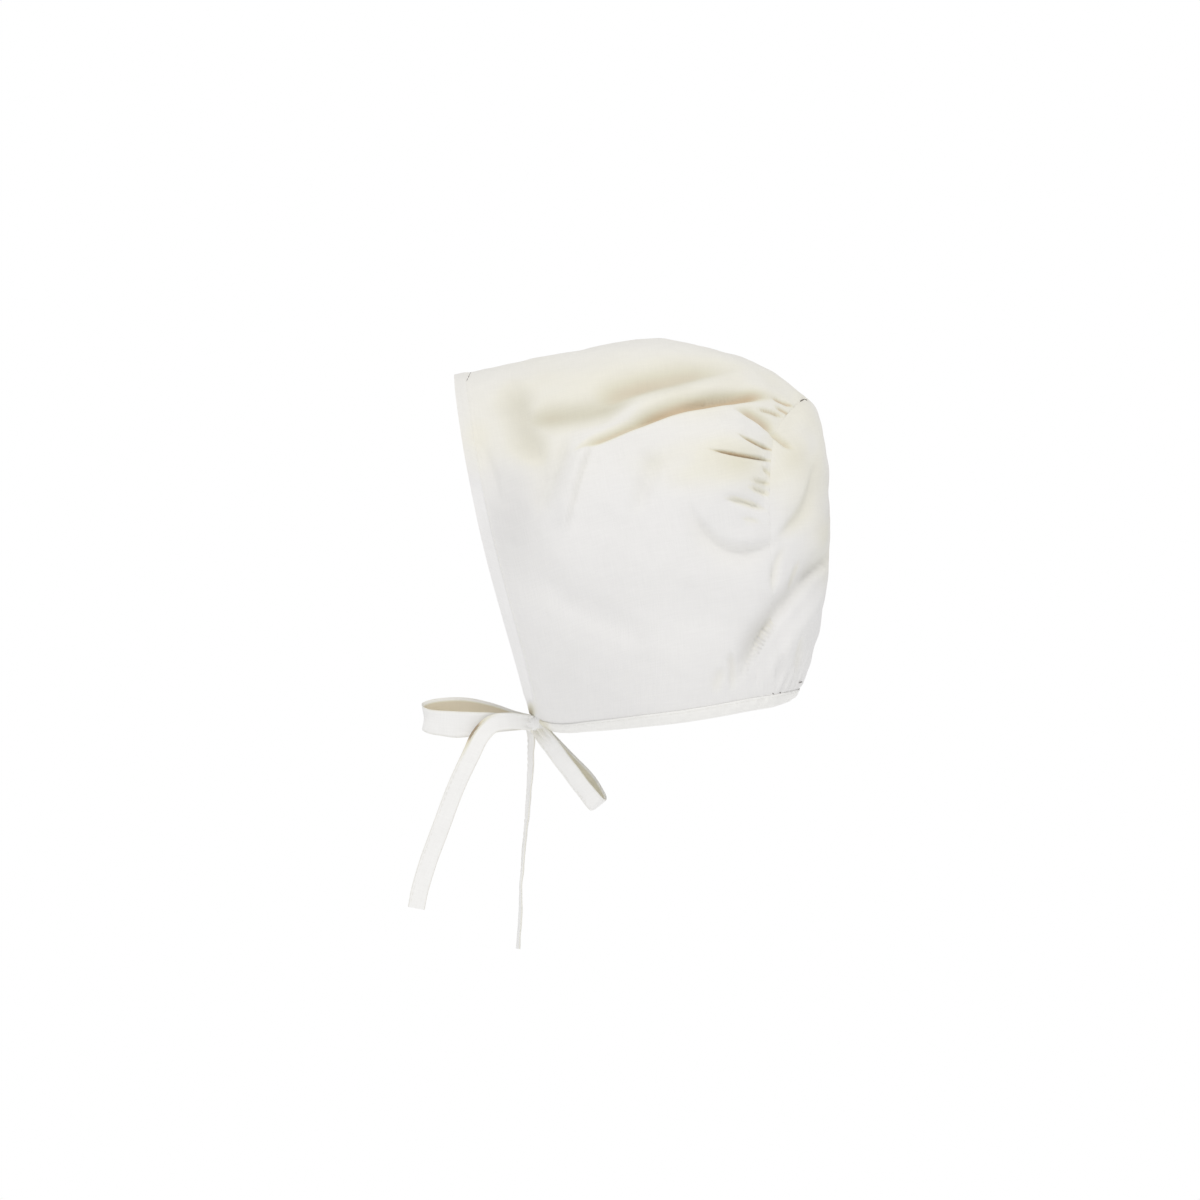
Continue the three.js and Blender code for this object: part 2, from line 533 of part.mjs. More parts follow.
// The binding: a tape folded over the lower edge of all the cloth, from corner to corner.
function bindingGeometry() {
  const outside = GAP + TAPE;
  const sectionAt = (low, high, lowIn, highIn, scale) => {
    const down = low.clone().sub(high).normalize();
    const side = low.clone().sub(lowIn).normalize();
    const sideHigh = high.clone().sub(highIn).normalize();
    const top = low.clone().lerp(high, scale);
    const topIn = lowIn.clone().lerp(highIn, scale);
    const move = (point, direction, amount, drop) =>
      point.clone().addScaledVector(direction, amount).addScaledVector(down, drop);
    return [
      move(top, sideHigh, outside, 0),
      move(low, side, outside, BINDING_DOWN - BINDING_LIP),
      move(low, side, outside - BINDING_BEVEL, BINDING_DOWN),
      move(lowIn, side, BINDING_BEVEL - outside, BINDING_DOWN),
      move(lowIn, side, -outside, BINDING_DOWN - BINDING_LIP),
      move(topIn, sideHigh, -outside, 0),
      move(topIn, sideHigh, -GAP, 0),
      move(lowIn, side, -GAP, BINDING_CLEAR),
      move(low, side, GAP, BINDING_CLEAR),
      move(top, sideHigh, GAP, 0),
    ];
  };
  // A section on the main panel, share of the way from row j to the row before it.
  const fromMain = (j, side, share, scale) => {
    const corner = (grid, column) => {
      const i = side < 0 ? column : 2 * SIDE_COLUMNS - column;
      return grid[j][i].clone().lerp(grid[j - 1][i], share);
    };
    const { outer, inner } = mainCloth;
    return sectionAt(corner(outer, 0), corner(outer, 1), corner(inner, 0), corner(inner, 1), scale);
  };
  const fromBack = (i) => {
    const { outer, inner } = backCloth;
    return sectionAt(outer[0][i], outer[1][i], inner[0][i], inner[1][i], 1);
  };
  // One side, from the corner, where the tape narrows and turns up with the edge, to the seam.
  const half = (side) => {
    const sections = [fromMain(1, side, BINDING_END.along, BINDING_END.high)];
    for (let j = 1; j < lastRow; j += 1) sections.push(fromMain(j, side, 0, 1));
    const behind = fromBack(side < 0 ? 0 : BACK_COLUMNS);
    sections.push(fromMain(lastRow, side, 0, 1).map((point, k) => point.clone().lerp(behind[k], 0.5)));
    return sections;
  };
  const middle = [];
  for (let i = 1; i < BACK_COLUMNS; i += 1) middle.push(fromBack(i));
  const sections = [...half(-1), ...middle, ...half(1).reverse()];
  const bar = barOf(sections);
  // The end faces of the folded tape, which is a channel of ten corners.
  const channel = [[0, 9, 8], [0, 8, 1], [1, 8, 2], [2, 8, 7], [2, 7, 3], [3, 7, 4], [4, 7, 6], [4, 6, 5]];
  const last = channel.map(([p, q, r]) => [bar.last + p, bar.last + r, bar.last + q]);
  return closedGeometry(bar.positions, [...bar.faces, ...channel, ...last]);
}

// A flat tape along a line of centres; wideAt gives the direction across it.
function tapeGeometry(rows, wideAt, count) {
  const smooth = smoothRows(rows, count);
  const centres = smooth.map((row) => new THREE.Vector3(row.x, row.y, row.z));
  const sections = smooth.map((row, j) => {
    const run = centres[Math.min(j + 1, count - 1)].clone().sub(centres[Math.max(j - 1, 0)]).normalize();
    const wide = wideAt(run, row);
    wide.addScaledVector(run, -wide.dot(run)).normalize();
    const flat = run.clone().cross(wide).normalize();
    const corner = (across, through) => {
      const point = centres[j].clone().addScaledVector(wide, (across * row.wide) / 2);
      return point.addScaledVector(flat, (through * TAPE) / 2);
    };
    const { flat: face, thick: edge } = TAPE_EDGE;
    const below = [corner(-1, -edge), corner(-face, -1), corner(face, -1), corner(1, -edge)];
    return [...below, corner(1, edge), corner(face, 1), corner(-face, 1), corner(-1, edge)];
  });
  const bar = barOf(sections);
  const cap = (start, turned) => {
    const made = [];
    for (let i = 1; i < bar.corners - 1; i += 1) {
      made.push(turned ? [start, start + i, start + i + 1] : [start, start + i + 1, start + i]);
    }
    return made;
  };
  return closedGeometry(bar.positions, [...bar.faces, ...cap(0, false), ...cap(bar.last, true)]);
}

// A loop of the bow lies along its own line, which leaves the knot at an angle seen from the side.
function loopGeometry(table, angle) {
  const along = new THREE.Vector3(Math.cos(angle), 0, Math.sin(angle));
  const up = new THREE.Vector3(-Math.sin(angle), 0, Math.cos(angle));
  if (up.z < 0) up.negate();
  const start = new THREE.Vector3(KNOT.x, KNOT.y, KNOT.z).addScaledVector(along, KNOT.halfX);
  const rows = table.map((row) => {
    const point = start.clone().addScaledVector(along, row.along).addScaledVector(up, row.up);
    return { x: point.x, y: point.y - row.near, z: point.z, wide: row.wide };
  });
  return tapeGeometry(rows, () => up.clone(), SECTIONS.loop);
}

// A tail hangs; turn is how far it faces away from the viewer.
function tailGeometry(table, count) {
  const wideAt = (run, row) => {
    const angle = THREE.MathUtils.degToRad(row.turn);
    const level = new THREE.Vector3(-run.z, 0, run.x).normalize();
    return level.multiplyScalar(Math.cos(angle)).add(new THREE.Vector3(0, -Math.sin(angle), 0));
  };
  return tapeGeometry(table, wideAt, count);
}

function knotGeometry() {
  const { around, rings, square, grooveAt, grooveReach } = KNOT_FORM;
  const positions = [];
  const round = (value) => Math.sign(value) * Math.abs(value) ** square;
  const put = (tilt, turn) => {
    const x = round(Math.cos(tilt)) * round(Math.cos(turn));
    const y = round(Math.cos(tilt)) * round(Math.sin(turn));
    const z = round(Math.sin(tilt));
    const slant = KNOT_SLANT.x * x + KNOT_SLANT.z * z;
    const dent = (place) => Math.exp(-(((slant - place) / grooveReach) ** 2));
    const size = 1 - (KNOT.groove / KNOT.halfX) * (dent(grooveAt) + dent(-grooveAt));
    positions.push(KNOT.x + KNOT.halfX * x * size);
    positions.push(KNOT.y + KNOT.halfY * y * size);
    positions.push(KNOT.z + KNOT.halfZ * z * size);
  };
  put(-Math.PI / 2, 0);
  for (let j = 1; j <= rings; j += 1) {
    const tilt = -Math.PI / 2 + (Math.PI * j) / (rings + 1);
    for (let i = 0; i < around; i += 1) put(tilt, (2 * Math.PI * i) / around);
  }
  put(Math.PI / 2, 0);
  const faces = [];
  const at = (j, i) => 1 + (j - 1) * around + (i % around);
  for (let i = 0; i < around; i += 1) {
    faces.push([0, at(1, i + 1), at(1, i)], [at(rings, i), at(rings, i + 1), 1 + rings * around]);
    for (let j = 1; j < rings; j += 1) {
      faces.push([at(j, i), at(j, i + 1), at(j + 1, i + 1)], [at(j, i), at(j + 1, i + 1), at(j + 1, i)]);
    }
  }
  return closedGeometry(positions, faces);
}

const group = new THREE.Group();

function addPiece(name, geometry, colour) {
  const material = new THREE.MeshStandardMaterial({ color: colour, roughness: 0.95, metalness: 0 });
  const mesh = new THREE.Mesh(geometry, material);
  mesh.name = name;
  group.add(mesh);
}

addPiece("main_panel", wallOf(mainCloth), CLOTH_COLOUR);
addPiece("back_panel", wallOf(backCloth), CLOTH_COLOUR);
addPiece("neck_binding", bindingGeometry(), TAPE_COLOUR);
addPiece("bow_knot", knotGeometry(), TAPE_COLOUR);
const upright = () => new THREE.Vector3(0, 0, 1);
const rearAngle = THREE.MathUtils.degToRad(REAR_LOOP_ANGLE);
addPiece("tie_far", tapeGeometry(FAR_TIE, upright, SECTIONS.farTie), TAPE_COLOUR);
addPiece("loop_front", loopGeometry(FRONT_LOOP, Math.PI), TAPE_COLOUR);
addPiece("loop_rear", loopGeometry(REAR_LOOP, rearAngle), TAPE_COLOUR);
addPiece("tail_front", tailGeometry(FRONT_TAIL, SECTIONS.frontTail), TAPE_COLOUR);
addPiece("tail_rear", tailGeometry(REAR_TAIL, SECTIONS.rearTail), TAPE_COLOUR);

export default group;
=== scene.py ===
import math
import bpy
import numpy as np
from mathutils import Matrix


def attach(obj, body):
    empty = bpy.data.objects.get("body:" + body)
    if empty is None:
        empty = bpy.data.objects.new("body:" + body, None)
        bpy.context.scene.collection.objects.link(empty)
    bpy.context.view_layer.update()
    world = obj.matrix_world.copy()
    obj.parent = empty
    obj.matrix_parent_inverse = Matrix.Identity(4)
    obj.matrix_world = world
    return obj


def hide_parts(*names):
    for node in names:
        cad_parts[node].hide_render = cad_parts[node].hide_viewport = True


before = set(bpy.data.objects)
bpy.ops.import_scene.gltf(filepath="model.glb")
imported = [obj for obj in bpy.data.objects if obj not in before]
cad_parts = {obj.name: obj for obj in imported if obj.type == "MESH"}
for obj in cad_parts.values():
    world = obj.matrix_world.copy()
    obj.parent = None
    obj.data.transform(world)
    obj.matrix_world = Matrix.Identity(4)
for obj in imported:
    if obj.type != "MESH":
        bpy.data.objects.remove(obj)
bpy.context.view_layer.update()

# Camera. Level and square to the side with the bow, through a long lens from 2.7 m away.
# Its picture is 504 mm across at the middle of the bonnet.
view_across = 0.504
view_distance = 2.7
view_centre = (-0.0252, -0.1082)
camera_data = bpy.data.cameras.new("side_camera")
camera_data.sensor_width = 36
camera_data.lens = camera_data.sensor_width * view_distance / view_across


def in_scene(name, data):
    """An object made of this camera, mesh or lamp."""
    made = bpy.data.objects.new(name, data)
    bpy.context.scene.collection.objects.link(made)
    return made


camera = in_scene("side_camera", camera_data)
camera.location = (view_centre[0], -view_distance, view_centre[1])
camera.rotation_euler = (math.radians(90), 0, 0)
bpy.context.scene.camera = camera

# The two panels of the cap, of undyed plain cotton, sewn together. The main one runs from one
# side of the neck over the crown to the other, hemmed along the face and pleated into the back
# seam. The back panel is a horseshoe that closes the back of the head, gathered at the nape.
MM = 0.001
thread_pitch = 0.26  # millimetres from one thread of the weave to the next
cloth_cream = (0.85, 0.842, 0.832)
# Tints for the warmth attribute: a creamier tone, also used as painted warm light on cloth facing up, and
# the khaki and tan of painted shade in folds and hollows.
cream_and_warm_light = (0.85, 0.83, 0.74)
fold_shade_khaki = (0.785, 0.755, 0.62)
fold_shade_tan = (0.67, 0.54, 0.38)
cloth_wall = 0.75  # millimetres, as all sizes of the panels and the binding are
# The inside of the panels is tinted a little creamier: painted warm light bounced inside the cap.
inside_warmth = 0.1
fold_free = 14  # millimetres on each side of the middle in which the folds fade out
binding_up = 3.9  # how far the binding laps up over the cloth
above_binding = 6.9  # where the even strips of the mesh start
side_columns = 48
ribs = np.array([  # from the face; crown x, z; neck x, z, half; widest half, its depth; lean, its place
    (0.0, -86.2, -14.0, -54.8, -155.8, 6.5, 54, 66, -3.0, 0.45),
    (0.06, -77.4, -12.0, -45.8, -161.8, 10, 56.5, 67, -2.8, 0.44),
    (0.25, -49.4, -6.2, -28, -161.3, 27, 62, 69, -2.0, 0.4),
    (0.5, -12.4, 0.6, -2.5, -158.5, 42, 65, 71, 0.0, 0.35),
    (0.6, 2.4, 1.0, 7.6, -157.3, 42.9, 64, 70, -0.8, 0.31),
    (0.75, 24.6, -3.3, 22.5, -155.0, 41.5, 60, 66, -3.0, 0.25),
    (0.9, 47.0, -11.8, 37, -152.4, 35.5, 53, 56, -8.0, 0.2),
    (1.0, 61.6, -23.4, 46.6, -151.0, 29, 47, 47, -13.0, 0.17),
])
folds = (  # three points seen from the side; lift; reach to its left and right; painted tan shade; painted grey shade
    (-22, -41.6, 13, -28.2, 53, -24.2, -2.9, 2.9, 1.2, 0.82, 0.15),
    (8, -30.0, 29, -24.9, 48, -23.4, -1.7, 2.5, 1.3, 0.86, 0.2),
    (-36, -47.6, -16, -38.8, 8, -29.8, -1.7, 2.3, 1.0, 0.64, 0.1),
    (-26, -37, 4, -24.8, 38, -17.8, 2.4, 3.4, 3.0, 0, 0),
    (-34, -31.4, -6, -18.6, 36, -11.4, -3.6, 6.0, 3.6, 0.44, 0.4),
    (-62, -32.0, -35, -31.0, -8, -22.6, -2.6, 5.0, 5.0, 0.40, 0.75),
    (-62, -14, -57, -34, -48, -56, -3.0, 6.0, 9.0, 0.18, 0.66),
    (-52, -40, -49, -56, -50, -76, -1.6, 6.0, 6.0, 0.03, 0.3),
    (-38, -38, -44, -56, -54, -78, -1.5, 3.0, 3.0, 0.03, 0.25),
    (-2, -42, -6, -58, -13, -76, -1.2, 4.6, 4.6, 0.02, 0.15),
    (-54, -92, -34, -112, 2, -126, -1.6, 8.0, 5.0, 0, 0.12),
    (-64, -98, -15, -113, 46, -116, -2.0, 17.0, 11.0, 0, 0),
    (-26.5, -38, -34.3, -59, -39.9, -83, 3.4, 1.7, 6.0, 0, 0),
    (0, -46, -4.5, -58, -10, -72, -1.5, 2.4, 4.4, 0, 0),
    (-74.8, -41, -71, -54, -66.5, -68, -1.8, 2.4, 3.6, 0, 0),
    (10, -66, 27, -87, 51, -82.0, -3.4, 2.2, 6.5, 0.03, 0),
    (47, -83.4, 60, -70, 66, -50, -2.6, 2.8, 4.4, 0.12, 0.3),
    (30, -28.4, 40.6, -33.6, 47.4, -40.6, -2.5, 2.3, 1.1, 0.74, 0.3),
    (44, -37.2, 49.6, -42, 56, -46, -1.6, 1.5, 1.0, 0.42, 0),
    (20, -39, 28, -36.6, 38, -38, 1.3, 4.0, 4.0, 0, 0),
    (18, -45.2, 34.4, -48.4, 46, -50.7, -1.0, 3.0, 2.6, 0, 0),
    (24, -65, 35.7, -68.7, 44, -72, -1.1, 2.2, 2.6, 0, 0),
    (84, -80, 50.6, -112.6, 30, -146, -4.0, 1.5, 5.6, 0.03, 0.65),
    (74, -99, 57.5, -119, 44, -141, 2.2, 4.2, 3.0, 0, 0),
    (52.5, -85, 48.0, -95, 46.6, -107, -1.6, 1.3, 2.0, 0.06, 0),
    (58, -91, 56.4, -98.5, 55.2, -106, -0.8, 1.4, 1.6, 0.1, 0),
    (28, -129, 30, -137.6, 29.2, -147, -1.7, 1.5, 1.9, 0.05, 0),
    (25.5, -136, 24, -141, 21.6, -148, -1.1, 1.9, 2.6, 0.05, 0),
    (38, -131, 39.4, -139, 40.5, -147, -0.9, 1.7, 1.9, 0, 0),
    (50, -121, 49.6, -134, 48.7, -147, -0.9, 1.5, 1.9, 0, 0),
    (58, -121, 57.8, -130, 56.5, -140, -1.2, 1.4, 1.8, 0.05, 0),
)
fine_folds = (  # the slits of the pleats and the smallest creases, narrow and sharp; their tan is painted shade
    (18, -46, 34, -49, 49.6, -51.2, -2.4, 0.6, 0.5, 0.9, 0),
    (31, -39.4, 40, -43.8, 49.6, -47.6, -1.9, 0.55, 0.5, 0.9, 0),
    (45.4, -24, 50.5, -25.8, 56.5, -28.2, -1.3, 0.7, 0.6, 0.95, 0),
    (38.4, -28.8, 45.5, -30.4, 51.6, -32.6, -1.3, 0.7, 0.6, 0.8, 0),
    (46.4, -27.8, 51.5, -30.2, 56.6, -33.8, -1.3, 0.7, 0.6, 0.8, 0),
    (41, -53.4, 44, -55.6, 46.6, -57.8, -1.1, 0.8, 0.8, 0.35, 0),
    (36, -58.4, 41.5, -59.6, 46, -60.5, -1.2, 0.8, 0.8, 0.35, 0),
    (35.4, -61.2, 41, -63.2, 45.6, -65.2, -1.2, 0.8, 0.8, 0.35, 0),
    (25, -66, 34.4, -67.8, 44.5, -71.5, -1.3, 0.9, 1.2, 0.28, 0),
    (32.6, -74.4, 37, -75.2, 41.7, -76, -0.6, 0.9, 1, 0.12, 0),
    (-26.6, -39, -34.2, -60, -38.4, -80, -2.3, 1.3, 1.6, 0.03, 0),
    (4, -30.6, 22.3, -26.2, 40, -23.4, -1.6, 1.8, 0.8, 0.4, 0),
    (72, -86, 49.2, -112.4, 33, -141, -1.9, 0.9, 2, 0.12, 0),
)
cream_patches = (  # where the colour runs creamier: centre and reach seen from the side, how much; the last, by the knot, is a painted brown shadow
    (4, -20, 38, 11, 0.17),
    (25, -52, 22, 8, 0.31),
    (58, -46, 13, 22, 0.18),
    (-51, -34, 14, 20, 0.10),
    (-76, -42, 7, 14, 0.12),
    (70, -84, 8, 16, 0.12),
    (-54.2, -154.6, 1.5, 3.2, 0.95),
)
painted_shade_patches = (  # the same for painted grey shade, where the colour is darkened to stand in for shade
    (-62, -75, 15, 27, 0.7),
    (74, -70, 9, 20, 0.5),
    (64, -96, 12, 12, 0.25),
    (-54.2, -154.6, 1.5, 3.2, 1.3),
)
puff = {"x": 26, "z": -52, "reach_x": 21.5, "reach_z": 29, "lift": 4.4}
gathers = {"every": 3.0, "depth": 0.5, "rise": 2.2, "fade": 5.0, "lowest": -92, "start": 14}


def ease(value):
    share = np.clip(value, 0, 1)
    return share * share * (3 - 2 * share)


def bell(away, reach):
    return np.exp(-((away / reach) ** 2))


def unit(vectors):
    return vectors / np.linalg.norm(vectors, axis=-1, keepdims=True)


def smooth(rows, places, at=None):
    """A table's values at these places, along a smooth curve through its rows."""
    rows = np.array(rows, float)
    at = np.arange(len(rows), dtype=float) if at is None else np.array(at, float)
    lean = np.empty_like(rows)
    lean[1:-1] = (rows[2:] - rows[:-2]) / (at[2:] - at[:-2])[:, None]
    lean[0] = (rows[1] - rows[0]) / (at[1] - at[0])
    lean[-1] = (rows[-1] - rows[-2]) / (at[-1] - at[-2])
    k = np.clip(np.searchsorted(at, places, side="right") - 1, 0, len(at) - 2)
    step = (at[k + 1] - at[k])[:, None]
    t = ((places - at[k]) / (at[k + 1] - at[k]))[:, None]
    start = t * t * (2 * t - 3) + 1
    return (
        rows[k] * start
        + rows[k + 1] * (1 - start)
        + lean[k] * step * t * (t - 1) ** 2
        + lean[k + 1] * step * t * t * (t - 1)
    )


def uneven(seed, points, size):
    """Soft unevenness with bumps about this size, always the same for one seed."""
    chance = np.random.default_rng(seed)
    total = np.zeros(points.shape[:-1])
    for _ in range(10):
        way = chance.normal(size=3)
        turns = 2 * math.pi / (size * chance.uniform(0.7, 1.5) * np.linalg.norm(way))
        total += np.sin(points @ way * turns + chance.uniform(0, 2 * math.pi))
    return total / math.sqrt(5)


def distance_along(points, axis=0):
    """How far each point lies from the first, measured over the points between."""
    steps = np.linalg.norm(np.diff(points, axis=axis), axis=-1)
    return np.insert(np.cumsum(steps, axis=axis), 0, 0, axis=axis)


def at_distances(rows, steps, places):
    """Points or directions at these distances along a line whose own points lie at steps."""
    return np.stack([np.interp(places, steps, rows[:, k]) for k in range(3)], 1)


def rib_lines(at):
    """Each rib from the neck up to the crown as a fine line, on the side of the bow."""
    top_x, top_z, neck_x, neck_z, neck_half, half, drop, lean, lean_at = (
        smooth(ribs[:, 1:], at, ribs[:, 0]).T[:, :, None]
    )
    height = top_z - neck_z
    down = np.linspace(1, 0, 140, endpoint=False)[None]
    turn = np.linspace(math.pi / 2, 0, 140)[None]
    depth = np.concatenate([drop + (height - drop) * down, drop * (1 - np.cos(turn))], 1)
    side = np.concatenate([half + (neck_half - half) * down**2.2, half * np.sin(turn)], 1)
    share = np.maximum(depth / height, 0)
    rise = np.sin(math.pi / 2 * np.minimum(share / lean_at, 1) ** 0.8)
    fall = (1 + np.cos(math.pi * np.clip((share - lean_at) / (1 - lean_at), 0, 1))) / 2
    x = top_x + (neck_x - top_x) * share + lean * np.where(share < lean_at, rise, fall)
    return np.stack([x, -side, top_z - depth], -1)


def on_columns(lines, columns):
    """Points of each line at these columns: close together under the binding, even above it."""
    made = []
    for line in lines:
        steps = distance_along(line)
        marks = (0, binding_up, above_binding, steps[-1])
        made.append(at_distances(line, steps, np.interp(columns, (0, 1, 2, side_columns), marks)))
    return np.array(made)


def fold_lift(table, x, z, share_at_ends=0.36):
    """What a table's folds add at points seen from the side: their height, and their painted tan and grey
    shade.
    """
    lift, tan, painted_shade = np.zeros_like(x), np.zeros_like(x), np.zeros_like(x)
    pieces = 24
    t = np.linspace(0, 1, pieces + 1)
    for fx, fz, bx, bz, tx, tz, high, reach_left, reach_right, tan_here, painted_shade_here in table:
        curve_x, curve_z = (
            (1 - t) ** 2 * start + 2 * t * (1 - t) * (2 * middle - (start + end) / 2) + t * t * end
            for start, middle, end in ((fx, bx, tx), (fz, bz, tz))
        )
        near = np.full(x.shape, np.inf)
        where, reach = np.zeros_like(x), np.ones_like(x)
        for k in range(pieces):
            ax, az = curve_x[k], curve_z[k]
            dx, dz = curve_x[k + 1] - ax, curve_z[k + 1] - az
            s = np.clip(((x - ax) * dx + (z - az) * dz) / (dx * dx + dz * dz), 0, 1)
            away = np.hypot(x - ax - s * dx, z - az - s * dz)
            closer = away < near
            near = np.where(closer, away, near)
            where = np.where(closer, (k + s) / pieces, where)
            left = ease((dx * (z - az) - dz * (x - ax)) / math.hypot(dx, dz) / 1.2 + 0.5)
            reach = np.where(closer, reach_right + (reach_left - reach_right) * left, reach)
        ends = ease(where / share_at_ends + 0.1) * ease((1 - where) / share_at_ends + 0.1)
        shape = ends * bell(near, reach * (0.45 + 0.55 * ends))
        lift += high * shape
        tan = np.maximum(tan, tan_here * shape)
        painted_shade = np.maximum(painted_shade, painted_shade_here * shape)
    return lift, tan, painted_shade


def gather_lift(step, z, to_seam):
    """Small uneven gathers that run into the seam, in the upper part of the back."""
    upper = ease((z - gathers["lowest"]) / gathers["start"])
    wander = step + 0.7 * np.sin(0.9 * step + 0.4) + 0.35 * np.sin(2.3 * step)
    wave = np.cos(2 * math.pi * wander / gathers["every"]) * (0.75 + 0.25 * np.sin(1.7 * step))
    fall = (1 - np.exp(-to_seam / gathers["rise"])) * np.exp(-to_seam / gathers["fade"])
    return gathers["depth"] * upper * wave * fall


def outward(grid):
    """The direction out of the cloth at each point of a grid."""
    direction = unit(np.cross(np.gradient(grid, axis=0), np.gradient(grid, axis=1)))
    away = np.stack([grid[..., 0] - 8, grid[..., 1], (grid[..., 2] + 78) * 0.8], -1)
    return direction * np.where((direction * away).sum(-1) < 0, -1, 1)[..., None]


half_columns = np.concatenate([
    np.linspace(0, 2, 9)[:-1],
    np.arange(2, 17, 0.5),
    np.arange(17, 22, 0.6),
    np.arange(22, 27.5, 0.28),
    np.arange(27.5, 34.5, 0.105),
    np.arange(34.5, 42, 0.28),
    np.linspace(42, side_columns, 11),
])
fine_count = 120
fine_ribs = on_columns(rib_lines(np.linspace(0, 1, fine_count + 1)), half_columns)
hem_line = 5.0
from_face = np.array([
    0, 0.2, 0.5, 1.0, 1.7, 2.5, 3.3, 4.0, 4.5, 4.8, hem_line, 5.2, 5.5, 6.0, 6.8, 7.8, 9.0,
])
close_to_seam = [5.6, 4.7, 3.9, 3.2, 2.5, 1.9, 1.4, 0.95, 0.55, 0.25, 0]
from_seam = np.concatenate([np.arange(30, 6, -1.05), close_to_seam])
between = np.linspace(0, 1, 92)[1:-1]
tenth = fine_count // 10
face_step = np.linalg.norm(fine_ribs[tenth] - fine_ribs[0], axis=1)
seam_step = np.linalg.norm(fine_ribs[-1] - fine_ribs[-1 - tenth], axis=1)
face_shares = 0.1 * from_face[:, None] / face_step
seam_shares = 1 - 0.1 * from_seam[:, None] / seam_step
middle_shares = face_shares[-1] + (seam_shares[0] - face_shares[-1]) * between[:, None]
row_shares = np.concatenate([face_shares, middle_shares, seam_shares])
place = row_shares * fine_count
line_below = np.clip(place.astype(int), 0, fine_count - 1)
part = (place - line_below)[..., None]
each = np.arange(len(half_columns))[None]
near_half = fine_ribs[line_below, each] * (1 - part) + fine_ribs[line_below + 1, each] * part
far_half = near_half[:, -2::-1] * np.array([1, -1, 1])
main_base = np.concatenate([near_half, far_half], 1)
main_columns = np.concatenate([half_columns, half_columns[-2::-1]])
main_out = outward(main_base)

seam_line = main_base[-1]
to_seam = np.linalg.norm(main_base - seam_line[None], axis=2)
to_face = np.linalg.norm(main_base - main_base[:1], axis=2)


def seen_from_side(points):
    """Where points are in a view of the near side. The far side wears the same folds, a little moved."""
    far = ease(points[..., 1] / 12)
    x = points[..., 0] + 2.5 * far * uneven(31, points, 70)
    return x, points[..., 2] + 3.0 * far * uneven(32, points, 70)


side_x, side_z = main_base[..., 0], main_base[..., 2]
columns_here = np.broadcast_to(main_columns, side_x.shape)
over_binding = ease((columns_here - 1) / 2.5)
over_crown = ease(np.abs(main_base[..., 1]) / fold_free)
off_seam = ease(to_seam / 4)
puff_away = np.hypot((side_x - puff["x"]) / puff["reach_x"], (side_z - puff["z"]) / puff["reach_z"])
puff_lift = puff["lift"] * ease(1.15 * (1 - puff_away)) * off_seam
puffed = main_base + main_out * puff_lift[..., None]
broad, broad_tan, main_painted_shade = fold_lift(folds, *seen_from_side(puffed))
broad = broad * over_crown * over_binding
creased = puffed + main_out * broad[..., None]
sharp, sharp_tan, _ = fold_lift(fine_folds, *seen_from_side(creased), 0.4)
nape = ease((side_x - 20) / 10) * ease((-120 - side_z) / 18)
nape_gathers = 0.3 * np.cos(2 * math.pi * side_x / 4.3 + 1.5 * np.sin(side_x / 3.1))
nape_gathers = nape_gathers * nape * np.exp(-np.maximum(columns_here - 1.2, 0) / 2.6)
seam_puckers = 0.10 * np.sin(2 * math.pi * columns_here * 0.9 + 1.2 * np.sin(columns_here))
seam_puckers = seam_puckers * np.exp(-to_seam / 2.6)
wavy = 0.24 * uneven(11, main_base, 26) + 0.08 * uneven(12, main_base, 9)
main_lift = over_binding * (
    broad + puff_lift + (sharp * over_crown + nape_gathers) * off_seam
    + gather_lift(columns_here, side_z, to_seam)
    + seam_puckers + wavy * ease(to_face / 12) * off_seam
) * (0.45 + 0.55 * ease((to_face - 5.6) / 7))
stitch_groove = 0.22 * bell(to_face - hem_line, 0.55)
hem_ruck = 0.07 * np.sin(2 * math.pi * columns_here * 0.62) * bell(to_face - hem_line, 2.0)
hem_rise = 0.5 * (1 - ease((to_face - 5.2) / 1.2))
main_lift += (hem_rise - stitch_groove + hem_ruck) * ease((columns_here - 2) / 2)
seam_dip = 0.06
main_lift -= seam_dip * bell(to_seam, 0.8) * over_binding

# The back panel is drawn from the seam line.
back_wrap = math.radians(59)
back_half_width = 49  # from its middle to the seam
back_line = np.array([  # height, and how far back the middle of the panel is there
    (-154, 52.6), (-150, 56.2), (-146, 59.0), (-133.4, 63.4), (-120.8, 66.4), (-108.2, 68.8),
    (-95.6, 70.6), (-83, 71.3), (-70.4, 71.0), (-51.5, 70.2), (-38.9, 68.5), (-32.6, 66.9),
    (-26.3, 64.2), (-22, 60.4),
])
close_to_edge = np.array([0.9, 0.925, 0.95, 0.97, 0.985, 0.996, 1])
back_across = np.concatenate([-close_to_edge[::-1], np.linspace(-0.87, 0.87, 104), close_to_edge])
seam_half = seam_line[: len(half_columns)]
seam_run = unit(np.gradient(seam_half, axis=0))
into_back = np.array([0.5, 0.75, -0.45])
inward = into_back - seam_run * (seam_run @ into_back)[:, None]
back_edge = seam_half + 0.02 * unit(inward)
back_height = np.clip(back_edge[:, 2], back_line[0, 0], back_line[-1, 0])
back_middle = smooth(back_line[:, 1:], back_height, back_line[:, 0])[:, 0]
back_turn = back_across * back_wrap
back_out = (np.cos(back_turn) - math.cos(back_wrap)) / (1 - math.cos(back_wrap))
back_rise = 2 * (1 - back_across**2) * (1 - ease(half_columns / 12))[:, None]
back_base = np.stack([
    back_edge[:, :1] + (back_middle - back_edge[:, 0])[:, None] * back_out,
    -back_edge[:, 1:2] * np.sin(back_turn) / math.sin(back_wrap),
    back_edge[:, 2:] + back_rise,
], -1)[:-1]
back_columns = half_columns[:-1]
back_facing = outward(back_base)

